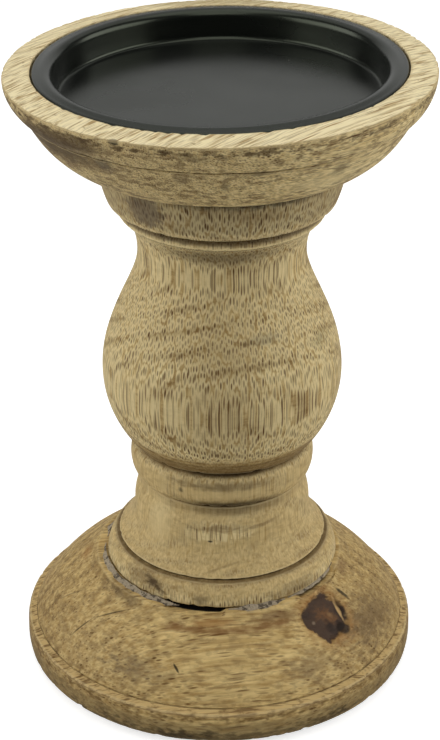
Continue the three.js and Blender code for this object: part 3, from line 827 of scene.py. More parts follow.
foot_marks_and_painted_shade = [
    band(4.3, 80.0, 4.3, "#7a6744", 0.5, 0.2, 0.25),
    Mark((0.0, -46.0, 2.8), RIGHT, (60.0, 30.0, 3.4), "#392f20", 0.6, 0.8, 2.6),
    band(8.6, 80.0, 1.7, "#664923", 0.75, 0.7, 2.6),
    Mark((37.0, -18.0, 17.0), (0.5, 0.8, 0.0), (20.0, 11.0, 10.0), "#6a5438", 0.72, 0.9, 1.2),
    Mark(KNOT_PLACE, KNOT_ALONG, (11.0, 10.0, 10.0), STAIN_ORANGE, 0.7, 0.6, 0.7),
    Mark(KNOT_PLACE, KNOT_ALONG, KNOT_SIZE, KNOT_BROWN, 0.95, 0.14, 0.5, True),
    Mark((27.0, -24.8, 22.8), KNOT_ALONG, (4.6, 3.6, 4.4), "#7a5430", 0.85, 0.9, 2.2),
    Mark((28.4, -27.0, 20.8), KNOT_ALONG, (3.8, 2.4, 3.0), BLACK_BROWN, 0.9, 0.7, 0.8),
    Mark((21.8, -27.2, 24.4), (0.5, 0.8, 0.2), (3.2, 1.8, 2.4), BLACK_BROWN, 0.85, 0.7, 0.8),
    Mark((23.8, -27.8, 22.7), KNOT_ALONG, (0.9, 0.9, 2.0), "#a48f74", 0.8, 0.7, 0.3),
    Mark((27.9, -23.9, 22.4), KNOT_ALONG, (1.6, 1.1, 2.0), "#93704a", 0.8, 0.7, 0.4),
    Mark((29.8, -23.6, 21.6), (0.4, -0.7, -0.5), (3.2, 1.4, 1.6), BLACK_BROWN, 0.7, 0.7, 1.4),
    # darker beside the filler on the left of the plinth: partly dirt, partly painted shade
    Mark((-24.0, -21.6, 26.4), (0.6, -0.8, 0.0), (12.0, 3.4, 2.6), "#493823", 0.5, 0.8, 1.2),
    Mark((30.9, -25.8, 19.9), KNOT_ALONG, (3.0, 2.3, 2.6), BLACK_BROWN, 0.9, 0.4, 0.6),
    Mark((30.4, -22.0, 22.2), (3.2, -4.3, -4.6), (4.8, 2.0, 2.4), BLACK_BROWN, 0.7, 0.4, 0.3),
    Mark((29.9, -21.9, 22.6), (3.2, -4.3, -4.6), (4.8, 0.7, 2.4), "#cba871", 0.95, 0.4, 0.3),
    Mark((31.1, -16.7, 24.1), (3.5, -0.7, -3.1), (3.4, 0.8, 2.0), BLACK_BROWN, 0.85, 0.5, 0.5),
    Mark((-34.6, -23.5, 18.0), (5.4, 0.3, 5.0), (4.6, 0.3, 2.2), CRACK_BROWN, 0.75, 0.6, 0.35),
    Mark((-26.8, -24.5, 23.2), (10.2, -2.4, 5.2), (6.6, 0.3, 2.2), CRACK_BROWN, 0.8, 0.6, 0.35),
    Mark((-37.2, -12.3, 20.6), (9.4, -3.9, 7.2), (6.8, 0.3, 0.6), CRACK_BROWN, 0.5, 0.7, 0.35),
    Mark((-10.6, -40.8, 17.8), (1.7, -2.4, -2.1), (1.9, 0.4, 0.8), BLACK_BROWN, 0.9, 0.5, 0.3),
    Mark((-21.5, -38.0, 15.6), (1.0, -0.6, -0.1), (11.0, 5.0, 5.0), "#6b5b46", 0.5, 0.9, 2.2),
    Mark((21.0, -37.5, 15.0), (1.0, 0.5, 0.0), (10.0, 6.0, 6.0), "#7a6547", 0.5, 0.9, 1.8),
    Mark((-3.3, -33.0, 25.9), RIGHT, (12.0, 1.6, 1.8), STAIN_ORANGE, 0.65, 0.7, 0.8),
    Mark((13.0, -30.4, 25.6), (1.0, 0.4, 0.0), (10.0, 2.6, 2.4), "#6b4d32", 0.65, 0.8, 1.0),
    Mark((-34.6, 1.4, 24.7), BACK, (5.0, 3.0, 3.0), STAIN_ORANGE, 0.55, 0.9, 0.8),
    Mark((31.9, -8.5, 26.6), BACK, (5.5, 3.2, 3.2), "#6f4c30", 0.7, 0.9, 0.8),
    Mark((36.2, -31.2, 10.6), (0.7, 0.7, 0.0), (1.0, 0.7, 0.8), BLACK_BROWN, 0.9, 0.5, 0.4),
    # dark in the open seam on the right: partly dark colour, partly painted shadow under the plinth
    Mark((22.9, -16.6, 26.4), (0.55, 0.8, 0.0), (9.0, 2.0, 1.6), "#2a1f14", 0.8, 0.5, 0.5),
    Mark((-9.7, -48.5, 3.2), RIGHT, (6.0, 3.0, 2.4), "#2b2115", 0.7, 0.8, 1.4),
    Mark((-3.0, -49.4, 4.4), RIGHT, (3.4, 3.0, 1.6), "#2b2115", 0.6, 0.8, 1.4),
    Mark((27.3, -41.1, 3.6), (0.8, 0.6, 0.0), (8.0, 4.0, 2.8), "#382c1b", 0.6, 0.8, 1.8),
]
# black along the open seam at the front: partly dark colour, partly painted shadow under the plinth
foot_marks_and_painted_shade += marks_round(SEAM_DEGREES, 27.2, 26.2, (4.5, 1.85, 1.8), "#0e0a07", 0.95, 0.12, 0.15)
foot_marks_and_painted_shade += marks_round(ARC_DEGREES, 34.4, 24.8, (5.2, 1.5, 2.4), "#744a22", 0.7, 0.7, 0.8)
foot_open_pores = [
    Mark((-8.0, -40.0, 18.0), RIGHT, (26.0, 10.0, 10.0), PORE_BROWN, 0.25, 0.8, 1.0),
]
foot_wood = mango_wood(
    Grain(
        name="mango wood, board cut",
        along=(1.0, 0.1, 0.03),
        pith=(0.0, 62.0, 4.0),
        ring_width=4.3,
        ring_start=0.0,
        ring_dark=0.3,
        wander=2.0,
        pale="#e2c686",
        brown="#a48147",
        dull="#7b6038",
        bare="#c8ab72",
        streak="#775931",
        fibre_width=0.85,
        pore_spacing=0.8,
        pore_length=9.0,
        pore_depth=0.62,
        fine_pores=0.05,
        halo=0.1,
        bare_pores=0.8,
        mottle=0.38,
        cross_dark=0.5,
        grime=0.5,
    ),
    foot_marks_and_painted_shade,
    foot_open_pores,
)

# %% [markdown]
# The knot shrank as it dried, so its face lies a little lower than the dome. It sinks in the block shape of
# its mark, and the mesh is finer there to hold its edge. The ledge at the top falls a little where the seam
# under the stem stands open, at the front and on the right.

# %% Foot: turn it
KNOT_DEPTH = 0.7  # mm
KNOT_REACH = 9.0  # mm round its middle where the mesh is finer
KNOT_RAGGED = 0.2  # half widths
KNOT_STEEPNESS = 5.0
GAP_DEPTH = 0.9  # mm that the ledge falls where the seam stands open
GAP_EASE = 3.0  # degrees
LEDGE_DEPTH = 0.5  # mm below the top that still counts as the ledge
OPEN_SEAMS = [(-117, -87), (-51, -20)]  # degrees round Z

knot = Vector(KNOT_PLACE)
to_block = Vector(KNOT_ALONG).to_track_quat("X", "Z").to_matrix().transposed()


def open_seam(degrees):
    """How far the seam stands open at an angle, from 0 to 1."""
    ends = [min(degrees - start, end - degrees) / GAP_EASE for start, end in OPEN_SEAMS]
    return min(1.0, max(0.0, *ends))


def at_knot(place):
    return (place - knot).length < KNOT_REACH


def knot_sink(place):
    """How far the knot has sunk at a place, from 0 to 1. It has the block shape of the knot's mark."""
    if not at_knot(place):
        return 0.0
    along, across, _ = to_block @ (place - knot)
    sides = (abs(along) / KNOT_SIZE[0], abs(across) / KNOT_SIZE[1])
    # What Smooth Maximum adds near a corner, worked out as its node does.
    corner = max(0.0, 1.0 - abs(sides[0] - sides[1]) / CORNER_EASE) ** 3 * CORNER_EASE / 6
    to_knot = max(sides) + corner + noise.noise(place / RAGGED_LENGTH) * KNOT_RAGGED
    return max(0.0, min(1.0, (1.0 - to_knot) * KNOT_STEEPNESS))


foot = spin_part(foot_outline, FOOT_STEPS, closed=True)
near_knot = [edge for edge in foot.edges if all(at_knot(vert.co / MM) for vert in edge.verts)]
bmesh.ops.subdivide_edges(foot, edges=near_knot, cuts=2, use_grid_fill=True)
foot.normal_update()
weather(foot, chip_depth=0.7)
shift_outside(foot, FOOT_SHIFT)
for vert in foot.verts:
    place = vert.co / MM
    vert.co -= vert.normal * knot_sink(place) * KNOT_DEPTH * MM
    if place.z > FOOT_TOP - LEDGE_DEPTH and place.to_2d().length > LEDGE_INNER:
        vert.co.z -= open_seam(math.degrees(math.atan2(place.y, place.x))) * GAP_DEPTH * MM
finish_piece(foot, "turned_foot", foot_wood, "stand", "base")

# %% [markdown]
# ## Stem
# The stem is one upright piece: plinth, flare and roll, a bead, the vase, a ridge and a collar. Its grain
# runs along Z and the pith lies just behind its axis, so the pores draw long dashes on the upright belly and
# neck and turn to dots on the slopes between them, and the rings loop round the vase.

# %% Stem: sizes
stem_low, stem_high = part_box("stem")
COLLAR_TOP_RADIUS = stem_high.x / MM
TENON_BOTTOM = stem_low.z / MM
TENON_TOP = stem_high.z / MM
STEM_STEPS = 304
TENON_RADIUS = 11.0
PILOT_RADIUS = 2.65
PILOT_DEPTH, TOP_PILOT_DEPTH = 36.0, 20.0
STEM_BOTTOM = TENON_BOTTOM + 9.0
STEM_TOP = TENON_TOP - 3.6
PLINTH_TOP_Z = STEM_BOTTOM + 5.8
FLARE_Z = PLINTH_TOP_Z + 0.7
ROLL_Z = FLARE_Z + 8.8
COVE_Z = ROLL_Z + 6.0
BEAD_Z = COVE_Z + 3.2
BEAD_TOP = BEAD_Z + 8.8
VASE_Z = BEAD_TOP + 0.8
BELLY_Z = VASE_Z + 18.8
COLLAR_Z = STEM_TOP - 11.7
RIDGE_TOP = COLLAR_Z - 1.0
RIDGE_Z = RIDGE_TOP - 2.9
NECK_Z = RIDGE_Z - 9.3
PLINTH_RADIUS = 29.2
PLINTH_TOP_RADIUS = 26.8
FLARE_RADIUS = 26.2
ROLL_RADIUS = 22.0
COVE_RADIUS = 20.8
BEAD_RADIUS = 22.8
VASE_FOOT_RADIUS = 22.3
BELLY_RADIUS = 29.35
NECK_RADIUS = 20.25
NECK_FLARE_RADIUS = 23.6
RIDGE_RADIUS = 25.0
COLLAR_FOOT_RADIUS = 27.0
COLLAR_SWELL_RADIUS = 28.7
RIDGE_GROOVE_RADIUS = 24.0
BEAD_EDGE_RADIUS = 21.4
VASE_GROOVE_RADIUS = 20.8
print("stem:", round(STEM_TOP - STEM_BOTTOM, 1), "mm between its tenons")

# %% Stem: outline
belly_rise = BELLY_Z - VASE_Z
shoulder_rise = NECK_Z - BELLY_Z
stem_outline = (
    Outline(0, TENON_BOTTOM + PILOT_DEPTH)
    .line(PILOT_RADIUS, TENON_BOTTOM + PILOT_DEPTH - PILOT_RADIUS)
    .line(PILOT_RADIUS, TENON_BOTTOM)
    .line(TENON_RADIUS, TENON_BOTTOM)
    .line(TENON_RADIUS, STEM_BOTTOM)
    .line(PLINTH_RADIUS - 0.7, STEM_BOTTOM, 8)
    .ease((PLINTH_RADIUS, STEM_BOTTOM), (PLINTH_RADIUS, STEM_BOTTOM + 0.7), 5)
    .ease((PLINTH_RADIUS - 0.2, STEM_BOTTOM + 3.2), (PLINTH_TOP_RADIUS + 0.3, PLINTH_TOP_Z - 0.1), 16)
    .ease((PLINTH_TOP_RADIUS, PLINTH_TOP_Z + 0.05), (PLINTH_TOP_RADIUS - 0.6, PLINTH_TOP_Z + 0.1), 3)
    .line(FLARE_RADIUS - 0.9, PLINTH_TOP_Z + 0.2, 2)
    .line(FLARE_RADIUS - 0.2, FLARE_Z - 0.1, 2)
    .ease((FLARE_RADIUS, FLARE_Z), (FLARE_RADIUS - 0.15, FLARE_Z + 0.2), 2)
    .curve(
        (FLARE_RADIUS - (FLARE_RADIUS - ROLL_RADIUS) * 0.55, FLARE_Z + 2.0),
        (ROLL_RADIUS, ROLL_Z - 2.8),
        (ROLL_RADIUS, ROLL_Z),
        26,
    )
    .ease((ROLL_RADIUS, ROLL_Z + 3.0), (COVE_RADIUS, COVE_Z), 14)
    .line(COVE_RADIUS, COVE_Z + 2.2, 5)
    .ease((COVE_RADIUS, COVE_Z + 2.5), (COVE_RADIUS - 0.6, COVE_Z + 2.7), 3)
    .ease((COVE_RADIUS - 0.5, BEAD_Z), (BEAD_EDGE_RADIUS, BEAD_Z), 4)
    .curve(
        (BEAD_RADIUS + 0.45, BEAD_Z + 1.4),
        (BEAD_RADIUS + 0.45, BEAD_TOP - 1.5),
        (BEAD_EDGE_RADIUS, BEAD_TOP - 0.25),
        26,
    )
    .ease((VASE_GROOVE_RADIUS + 0.1, BEAD_TOP), (VASE_GROOVE_RADIUS, BEAD_TOP + 0.25), 3)
    .ease((VASE_GROOVE_RADIUS + 0.1, VASE_Z - 0.1), (VASE_FOOT_RADIUS, VASE_Z), 4)
    .curve(
        (BELLY_RADIUS, VASE_Z + belly_rise * 0.42),
        (BELLY_RADIUS, BELLY_Z - belly_rise * 0.1),
        (BELLY_RADIUS, BELLY_Z),
        40,
    )
    .curve(
        (BELLY_RADIUS, BELLY_Z + shoulder_rise * 0.435),
        (NECK_RADIUS, NECK_Z - shoulder_rise * 0.257),
        (NECK_RADIUS, NECK_Z),
        60,
    )
    .curve(
        (NECK_RADIUS, NECK_Z + 7.0),
        (NECK_FLARE_RADIUS - 0.3, RIDGE_Z - 0.3),
        (NECK_FLARE_RADIUS, RIDGE_Z),
        22,
    )
    .ease((RIDGE_RADIUS + 0.8, RIDGE_Z + 1.45), (RIDGE_GROOVE_RADIUS + 0.3, RIDGE_TOP - 0.1), 12)
    .ease((RIDGE_GROOVE_RADIUS, RIDGE_TOP + 0.15), (RIDGE_GROOVE_RADIUS + 0.4, RIDGE_TOP + 0.45), 4)
    .line(COLLAR_FOOT_RADIUS - 0.8, COLLAR_Z, 5)
    .ease((COLLAR_FOOT_RADIUS, COLLAR_Z), (COLLAR_FOOT_RADIUS + 0.4, COLLAR_Z + 0.8), 5)
    .ease((COLLAR_SWELL_RADIUS, COLLAR_Z + 3.9), (COLLAR_TOP_RADIUS, STEM_TOP - 0.2), 24)
    .ease((COLLAR_TOP_RADIUS, STEM_TOP), (COLLAR_TOP_RADIUS - 0.3, STEM_TOP), 3)
    .line(TENON_RADIUS, STEM_TOP, 4)
    .line(TENON_RADIUS, TENON_TOP)
    .line(PILOT_RADIUS, TENON_TOP)
    .line(PILOT_RADIUS, TENON_TOP - TOP_PILOT_DEPTH)
    .line(0, TENON_TOP - TOP_PILOT_DEPTH - PILOT_RADIUS)
)
print("stem:", len(stem_outline.points), "points in its outline")

# %% [markdown]
# Wax and handling left bands round the stem: a darker collar, partly wax and partly painted shade under the
# dish, and a pale flare. More shade is painted into the colour: a shadow under the dish, black in the grooves
# above and below the bead at the front, dark in the cove below the collar, under the ridge, down the front of
# the vase, at its foot and under the edge of the flare. A painted highlight runs along the collar's lower
# arris. In the flare and at the foot of the vase the pores were filled, and in a few other spots they stayed
# open.

# %% Stem: marks and wood
STEM_PITH = (-1.5, 4.5, 0.0)
stem_marks_and_painted_light = [
    # darker collar: partly wax, partly painted shade under the dish
    band(131.0, 60.0, 7.2, "#5b482c", 0.43, 0.35, 0.5),
    # painted shadow under the overhang of the dish
    Mark((6.0, -20.0, 137.2), RIGHT, (36.0, 24.0, 5.0), "#1d150c", 0.9, 0.4, 0.4),
    # painted highlight along the collar's lower arris
    band(125.5, 60.0, 0.4, "#d6c08f", 0.5, 0.5, 0.4),
    # darker cove below the collar: partly tone, partly painted shade
    band(123.2, 60.0, 1.2, "#3f2e1b", 0.75, 0.5, 0.6),
    band(121.7, 60.0, 0.5, "#ecd9a4", 0.75, 0.5, 1.4),
    band(120.9, 60.0, 0.3, "#46351e", 0.6, 0.6, 0.6),
    # darker foot of the vase: partly dirt, partly painted shade above the groove
    band(62.6, 60.0, 4.2, "#624a27", 0.6, 0.6, 0.4),
    band(66.0, 60.0, 0.35, "#5a4424", 0.5, 0.8, 1.2),
    band(64.6, 60.0, 0.3, "#5a4424", 0.5, 0.8, 1.2),
    # painted shade under the ridge, on the front of the neck
    Mark((0.0, -22.0, 118.2), RIGHT, (24.0, 14.0, 3.4), "#57452a", 0.66, 0.8, 0.6),
    # painted shade down the front of the vase
    Mark((0.0, -28.0, 88.0), UP, (36.0, 15.0, 15.0), "#7d6238", 0.25, 0.9, 0.6),
    band(44.0, 80.0, 17.5, "#e0c78c", 0.18, 0.2, 0.4),
    Mark((0.0, -20.0, 48.2), RIGHT, (16.0, 12.0, 1.8), "#dcc48e", 0.4, 0.9, 1.0),
    Mark((-15.0, -15.5, 45.5), UP, (10.0, 6.0, 6.0), "#e6cf98", 0.6, 0.9, 1.0),
    Mark((-1.0, -21.8, 45.4), RIGHT, (13.0, 4.0, 1.7), "#6d4e28", 0.6, 0.9, 1.6),
    Mark((10.0, -19.0, 45.4), (0.8, 0.5, 0.1), (7.0, 3.0, 0.8), "#5f4424", 0.5, 0.8, 1.4),
    band(33.0, 70.0, 0.9, "#5a3d1c", 0.3, 0.8, 1.6),
    # painted shade in a line under the flare's overhanging edge
    band(PLINTH_TOP_Z, 70.0, 0.4, "#4a3314", 0.65, 0.6, 0.8),
    Mark((-18.5, -21.0, 30.6), (0.8, -0.6, 0.0), (10.0, 6.0, 3.4), "#5f4a2c", 0.5, 0.8, 1.2),
    Mark((18.0, -22.0, 29.0), (0.8, 0.6, 0.0), (12.0, 5.0, 2.6), "#5f4a2c", 0.5, 0.8, 1.2),
    Mark((19.0, -17.0, 38.0), (0.5, 0.4, -0.8), (8.0, 2.0, 1.4), "#775c33", 0.5, 0.8, 1.2),
    Mark((2.0, -25.4, 36.4), (0.9, 0.1, 0.25), (9.0, 3.0, 0.5), "#7a5f36", 0.6, 0.8, 0.6),
    Mark((0.0, -20.0, 57.8), RIGHT, (18.0, 12.0, 1.8), "#54432c", 0.55, 0.8, 1.0),
    Mark((2.0, -20.0, 55.4), RIGHT, (18.0, 12.0, 1.7), "#d9c088", 0.45, 0.8, 1.2),
    # painted shadow: black in the groove under the vase, at the front
    Mark((3.0, -22.0, 61.0), RIGHT, (20.0, 12.0, 1.4), "#17100a", 0.9, 0.8, 0.3),
    # painted shadow: black in the groove under the bead, at the front
    Mark((3.0, -22.0, 52.2), RIGHT, (22.0, 12.0, 2.3), "#17100a", 0.85, 0.9, 0.3),
    # painted shade spreading below the bead at the front
    Mark((3.0, -21.0, 50.2), RIGHT, (20.0, 12.0, 2.6), "#3d2f1c", 0.5, 0.9, 0.6),
    Mark((-17.2, -23.0, 130.8), (-0.8, 0.6, 0.0), (6.5, 4.0, 6.0), "#54473d", 0.62, 0.5, 0.9),
    Mark((-11.6, -26.3, 129.8), UP, (3.2, 0.6, 0.6), "#b89f76", 0.6, 0.6, 0.4),
    Mark((-9.6, -20.6, 56.0), UP, (1.0, 0.9, 0.9), "#3b2d1d", 0.7, 0.8, 0.6),
    Mark((-2.5, -21.9, 42.0), RIGHT, (0.9, 0.4, 0.4), "#3b2d1d", 0.9, 0.6, 0.4),
    Mark((-16.4, -23.0, 30.6), (0.8, -0.6, -0.4), (4.6, 2.0, 2.0), "#3f2b15", 0.85, 0.8, 1.6),
    Mark((-4.8, -28.4, 29.2), RIGHT, (3.6, 1.8, 1.8), "#5c4728", 0.6, 0.8, 1.2),
    Mark((10.5, -22.6, 98.0), (1.0, 0.4, 0.0), (7.0, 3.0, 2.0), "#7c7763", 0.35, 0.9, 0.8),
    Mark((23.5, -12.8, 93.2), (0.5, 0.8, 0.0), (6.0, 2.5, 3.0), "#77714f", 0.35, 0.9, 0.8),
]
stem_open_pores = [
    band(44.0, 80.0, 17.5, PORE_BROWN, -0.6, 0.2, 0.2),
    Mark((-1.0, -21.8, 44.4), RIGHT, (13.0, 3.4, 3.4), PORE_BROWN, 1.0, 0.6, 1.2),
    band(63.4, 80.0, 4.2, PORE_BROWN, -1.0, 0.4, 0.4),
    Mark((4.0, -28.0, 130.0), RIGHT, (30.0, 12.0, 6.0), PORE_BROWN, 0.55, 0.6, 0.8),
    Mark((-2.0, -28.0, 90.0), RIGHT, (26.0, 12.0, 3.6), PORE_BROWN, 0.4, 0.8, 0.8),
    Mark((-2.0, -28.0, 70.0), RIGHT, (22.0, 12.0, 3.0), PORE_BROWN, 0.5, 0.8, 0.8),
]
stem_wood = mango_wood(
    Grain(
        name="mango wood, log cut",
        along=UP,
        pith=STEM_PITH,
        ring_width=2.1,
        ring_start=0.4,
        ring_dark=0.48,
        wander=0.7,
        pale="#d8bf87",
        brown="#a6864d",
        dull="#785828",
        bare="#d8c08b",
        streak="#b08d52",
        fibre_width=0.5,
        pore_spacing=0.78,
        pore_length=0.0,
        pore_depth=0.72,
        fine_pores=0.2,
        halo=1.0,
        bare_pores=1.0,
        mottle=0.35,
        cross_dark=0.1,
        grime=0.95,
    ),
    stem_marks_and_painted_light,
    stem_open_pores,
)

# %% Stem: turn it
stem = spin_part(stem_outline, STEM_STEPS, closed=False)
weather(stem, chip_depth=0.45)
shift_outside(stem, STEM_SHIFT)
finish_piece(stem, "turned_stem", stem_wood, "stand", "stem")

# %% [markdown]
# ## Dish
# The dish is a shallow bowl cut from a board like the foot, but set on the stem with its grain pointing off
# to the back right. So the left of its side is cut across the fibres, and is dark and speckled, darkened
# further by painted shade, and the right is cut along them. Its rim was skimmed last: bare, pale, with a
# chipped edge.

# %% Dish: sizes and outline
dish_low, dish_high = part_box("dish")
DISH_RADIUS = dish_high.x / MM
DISH_BOTTOM = dish_low.z / MM
RIM_RISE = 0.75
RIM_TOP = dish_high.z / MM - RIM_RISE
DISH_STEPS = 640
DISH_FOOT_RADIUS = 35.0
BAND_FOOT_RADIUS = 46.7
BAND_FOOT_Z = RIM_TOP - 6.9
BOWL_TOP = BAND_FOOT_Z - 0.6
REBATE_RADIUS = 43.6
REBATE_Z = RIM_TOP - 0.6
POCKET_RADIUS = 39.9
POCKET_FLOOR = RIM_TOP - 7.6
DISH_COUNTERBORE_FLOOR = POCKET_FLOOR - 4.8
DISH_SOCKET_ROOF = DISH_BOTTOM + 3.9

bowl_run = BAND_FOOT_RADIUS - DISH_FOOT_RADIUS
bowl_rise = BOWL_TOP - DISH_BOTTOM
dish_outline = (
    Outline(SOCKET_RADIUS, DISH_BOTTOM)
    .line(DISH_FOOT_RADIUS - 0.4, DISH_BOTTOM, 8)
    .ease((DISH_FOOT_RADIUS, DISH_BOTTOM), (DISH_FOOT_RADIUS + 0.4, DISH_BOTTOM + 0.3), 4)
    .curve(
        (DISH_FOOT_RADIUS + bowl_run * 0.69, DISH_BOTTOM + bowl_rise * 0.37),
        (BAND_FOOT_RADIUS - bowl_run * 0.22, BOWL_TOP - bowl_rise * 0.19),
        (BAND_FOOT_RADIUS - 0.3, BOWL_TOP),
        34,
    )
    .line(BAND_FOOT_RADIUS - 0.55, BAND_FOOT_Z - 0.2, 2)
    .line(BAND_FOOT_RADIUS + 0.2, BAND_FOOT_Z, 2)
    .curve(
        (BAND_FOOT_RADIUS + 0.5, BAND_FOOT_Z + 0.2),
        (DISH_RADIUS, RIM_TOP - 4.3),
        (DISH_RADIUS, RIM_TOP - 0.25),
        20,
    )
    .ease((DISH_RADIUS, RIM_TOP), (DISH_RADIUS - 0.25, RIM_TOP + 0.05), 3, bare=0.6)
    .line(DISH_RADIUS - 0.6, RIM_TOP + 0.1, 1, bare=1.0)
    .line(REBATE_RADIUS + 0.3, RIM_TOP + RIM_RISE, 12, bare=1.0)
    .ease((REBATE_RADIUS, RIM_TOP + RIM_RISE), (REBATE_RADIUS, RIM_TOP + RIM_RISE - 0.25), 3, bare=0.6)
    .line(REBATE_RADIUS, REBATE_Z)
    .line(POCKET_RADIUS + 1.9, REBATE_Z, 2)
    .line(POCKET_RADIUS, REBATE_Z - 1.9, 2)
    .line(POCKET_RADIUS, POCKET_FLOOR, 2)
    .line(COUNTERBORE_RADIUS, POCKET_FLOOR, 4)
    .line(COUNTERBORE_RADIUS, DISH_COUNTERBORE_FLOOR)
    .line(SCREW_HOLE_RADIUS, DISH_COUNTERBORE_FLOOR)
    .line(SCREW_HOLE_RADIUS, DISH_SOCKET_ROOF)
    .line(SOCKET_RADIUS, DISH_SOCKET_ROOF)
)
print("dish:", len(dish_outline.points), "points in its outline")

# %% Dish: marks and wood
dish_marks_and_painted_shade = [
    # painted shade on the back of the rim
    Mark((0.0, 47.0, 156.0), RIGHT, (38.0, 6.0, 6.0), "#a4905f", 0.55, 0.8, 0.5),
    Mark((-22.5, -44.5, 155.7), (0.9, -0.45, 0.0), (1.6, 0.9, 0.9), BLACK_BROWN, 0.9, 0.5, 0.6),
    Mark((8.3, -45.7, 148.8), (1.0, 0.15, 0.0), (4.2, 1.5, 1.4), CRACK_BROWN, 0.7, 0.8, 1.0),
    Mark((24.0, -33.0, 144.0), (0.8, 0.6, 0.0), (18.0, 9.0, 5.0), "#ecd7a0", 0.6, 0.9, 1.2),
    Mark((-6.0, -49.0, 153.8), (1.0, 0.1, 0.0), (5.0, 2.0, 1.6), "#5d4a2c", 0.6, 0.9, 1.2),
    # painted shade below the rim on the left, over the darker end grain
    Mark((-38.0, -26.0, 148.6), (0.6, -0.8, 0.0), (26.0, 12.0, 6.6), "#57452a", 0.9, 0.7, 0.9),
    # dirt and painted shade in a ragged line just under the rim's outer edge
    Mark((0.0, 0.0, 155.0), (1.0, 0.0, RIM_LEAN), (80.0, 80.0, 1.2), "#46321a", 0.75, 0.6, 3.0),
    Mark((-25.0, -37.9, 147.6), UP, (4.6, 3.2, 3.2), "#544a3e", 0.6, 0.8, 0.9),
    Mark((26.2, -36.2, 146.4), UP, (3.4, 3.4, 3.0), "#4f3f28", 0.45, 0.8, 1.2),
    # painted shade below the rim on the left, over the darker end grain
    Mark((-34.6, -35.4, 152.4), (0.7, -0.7, 0.01), (22.0, 4.0, 3.0), "#4f3c22", 0.8, 0.6, 0.8),
    Mark((-8.5, -44.2, 147.0), UP, (3.0, 2.4, 2.4), "#5d4a30", 0.5, 0.8, 1.2),
    Mark((1.1, -43.9, 145.2), UP, (2.6, 1.4, 1.6), "#4d3b24", 0.6, 0.8, 0.8),
]
dish_wood = mango_wood(
    Grain(
        name="mango wood, dish",
        along=(0.74, 0.67, 0.02),
        pith=(-50.0, 60.0, 120.0),
        ring_width=3.4,
        ring_start=0.0,
        ring_dark=0.12,
        wander=1.5,
        pale="#f3dea4",
        brown="#c2a266",
        dull="#836a42",
        bare="#f6e7bb",
        streak="#a58450",
        fibre_width=0.62,
        pore_spacing=0.5,
        pore_length=0.0,
        pore_depth=0.6,
        fine_pores=0.7,
        halo=0.4,
        bare_pores=0.55,
        mottle=0.85,
        cross_dark=0.35,
        grime=0.95,
    ),
    dish_marks_and_painted_shade,
    [],
)

# %% [markdown]
# The rim leans, and the bowl below it doesn't. So the lean grows from nothing at the foot of the band to its
# full amount at the rim, and the pocket leans as a whole with the plate that lies in it.

# %% Dish: turn it
LEAN_INNER = REBATE_RADIUS + 1.0
LEAN_FLOOR = POCKET_FLOOR - 0.5

dish = spin_part(dish_outline, DISH_STEPS, closed=True)
weather(dish, chip_depth=0.5)
for vert in dish.verts:
    place = vert.co / MM
    if place.to_2d().length < LEAN_INNER:
        share = 1.0 if place.z > LEAN_FLOOR else 0.0
    else:
        share = min(1.0, max(0.0, (place.z - BAND_FOOT_Z) / (RIM_TOP - BAND_FOOT_Z)))
    vert.co.z += vert.co.x * RIM_LEAN * share
finish_piece(dish, "turned_dish", dish_wood, "stand", "dish")

# %% [markdown]
# ## Candle plate
# The plate is pressed from sheet steel and powder coated: a pan with rounded bends and a flange whose edge
# turns down. Powder flows before it sets, so the paint is satin with a faint orange-peel texture, almost
# black, and carries a few specks of dust.

# %% Powder-coated steel
PEEL_LENGTH = 0.9  # mm between the dimples of the paint
FILM_LENGTH = 20.0  # mm over which the coat changes
SPECK_SPACING = 5.5  # mm
SPECK_SPAN, SPECK_SIZE = (0.6, 1.0), 0.05  # which cells hold a speck of dust, and its radius in cells
DUST_COVER = 0.5
COAT_BLACK, FILM_BLACK = "#0e0f0e", "#131513"
COAT_SHEEN = "#eefadb"
DUST_GREY = "#77756d"
COAT_ROUGHNESS = (0.22, 0.3)
PEEL_STRENGTH, PEEL_DEPTH = 0.25, 0.02  # depth in mm

coat, tree = new_material("steel, black powder coat")
places = places_in_mm(tree)
peel = clouds(tree, places, PEEL_LENGTH, 2.0).outputs[0]
film = clouds(tree, places, FILM_LENGTH, 5.0).outputs[0]
specks = add(tree, "ShaderNodeTexVoronoi", {"Vector": places, "Scale": 1 / SPECK_SPACING})
speck_rank = add(tree, "ShaderNodeSeparateColor", {0: specks.outputs["Color"]})
speck_size = ramp(tree, speck_rank.outputs[0], SPECK_SPAN, (0.0, SPECK_SIZE))
speck = combine(tree, "LESS_THAN", specks.outputs["Distance"], speck_size)
film_tint = mix(tree, film, linear(COAT_BLACK), linear(FILM_BLACK))
coat_settings = {
    "Base Color": mix(tree, combine(tree, "MULTIPLY", speck, DUST_COVER), film_tint, linear(DUST_GREY)),
    "Roughness": ramp(tree, film, NOISE_SPAN, COAT_ROUGHNESS),
    "IOR": 1.5,
    "Specular Tint": linear(COAT_SHEEN),
    "Normal": bumps(tree, peel, PEEL_STRENGTH, PEEL_DEPTH),
}
finish_material(tree, coat_settings)

# %% Candle plate: outline and spinning
plate_low, plate_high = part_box("candle_plate")
FLANGE_RADIUS = plate_high.x / MM
FLANGE_TOP = plate_high.z / MM
PAN_UNDER = plate_low.z / MM
SHEET = 0.9
PLATE_STEPS = 256
FLANGE_UNDER = FLANGE_TOP - SHEET
PAN_FLOOR = PAN_UNDER + SHEET
PAN_WALL = 38.4
PAN_FLOOR_RADIUS = 37.9
LIP_BEND = 2.4
FLOOR_BEND = 1.3
TURN_DOWN = FLANGE_RADIUS - SHEET
FLANGE_DROP = 0.5
FLANGE_FALL = 0.3  # from the lip out to the edge

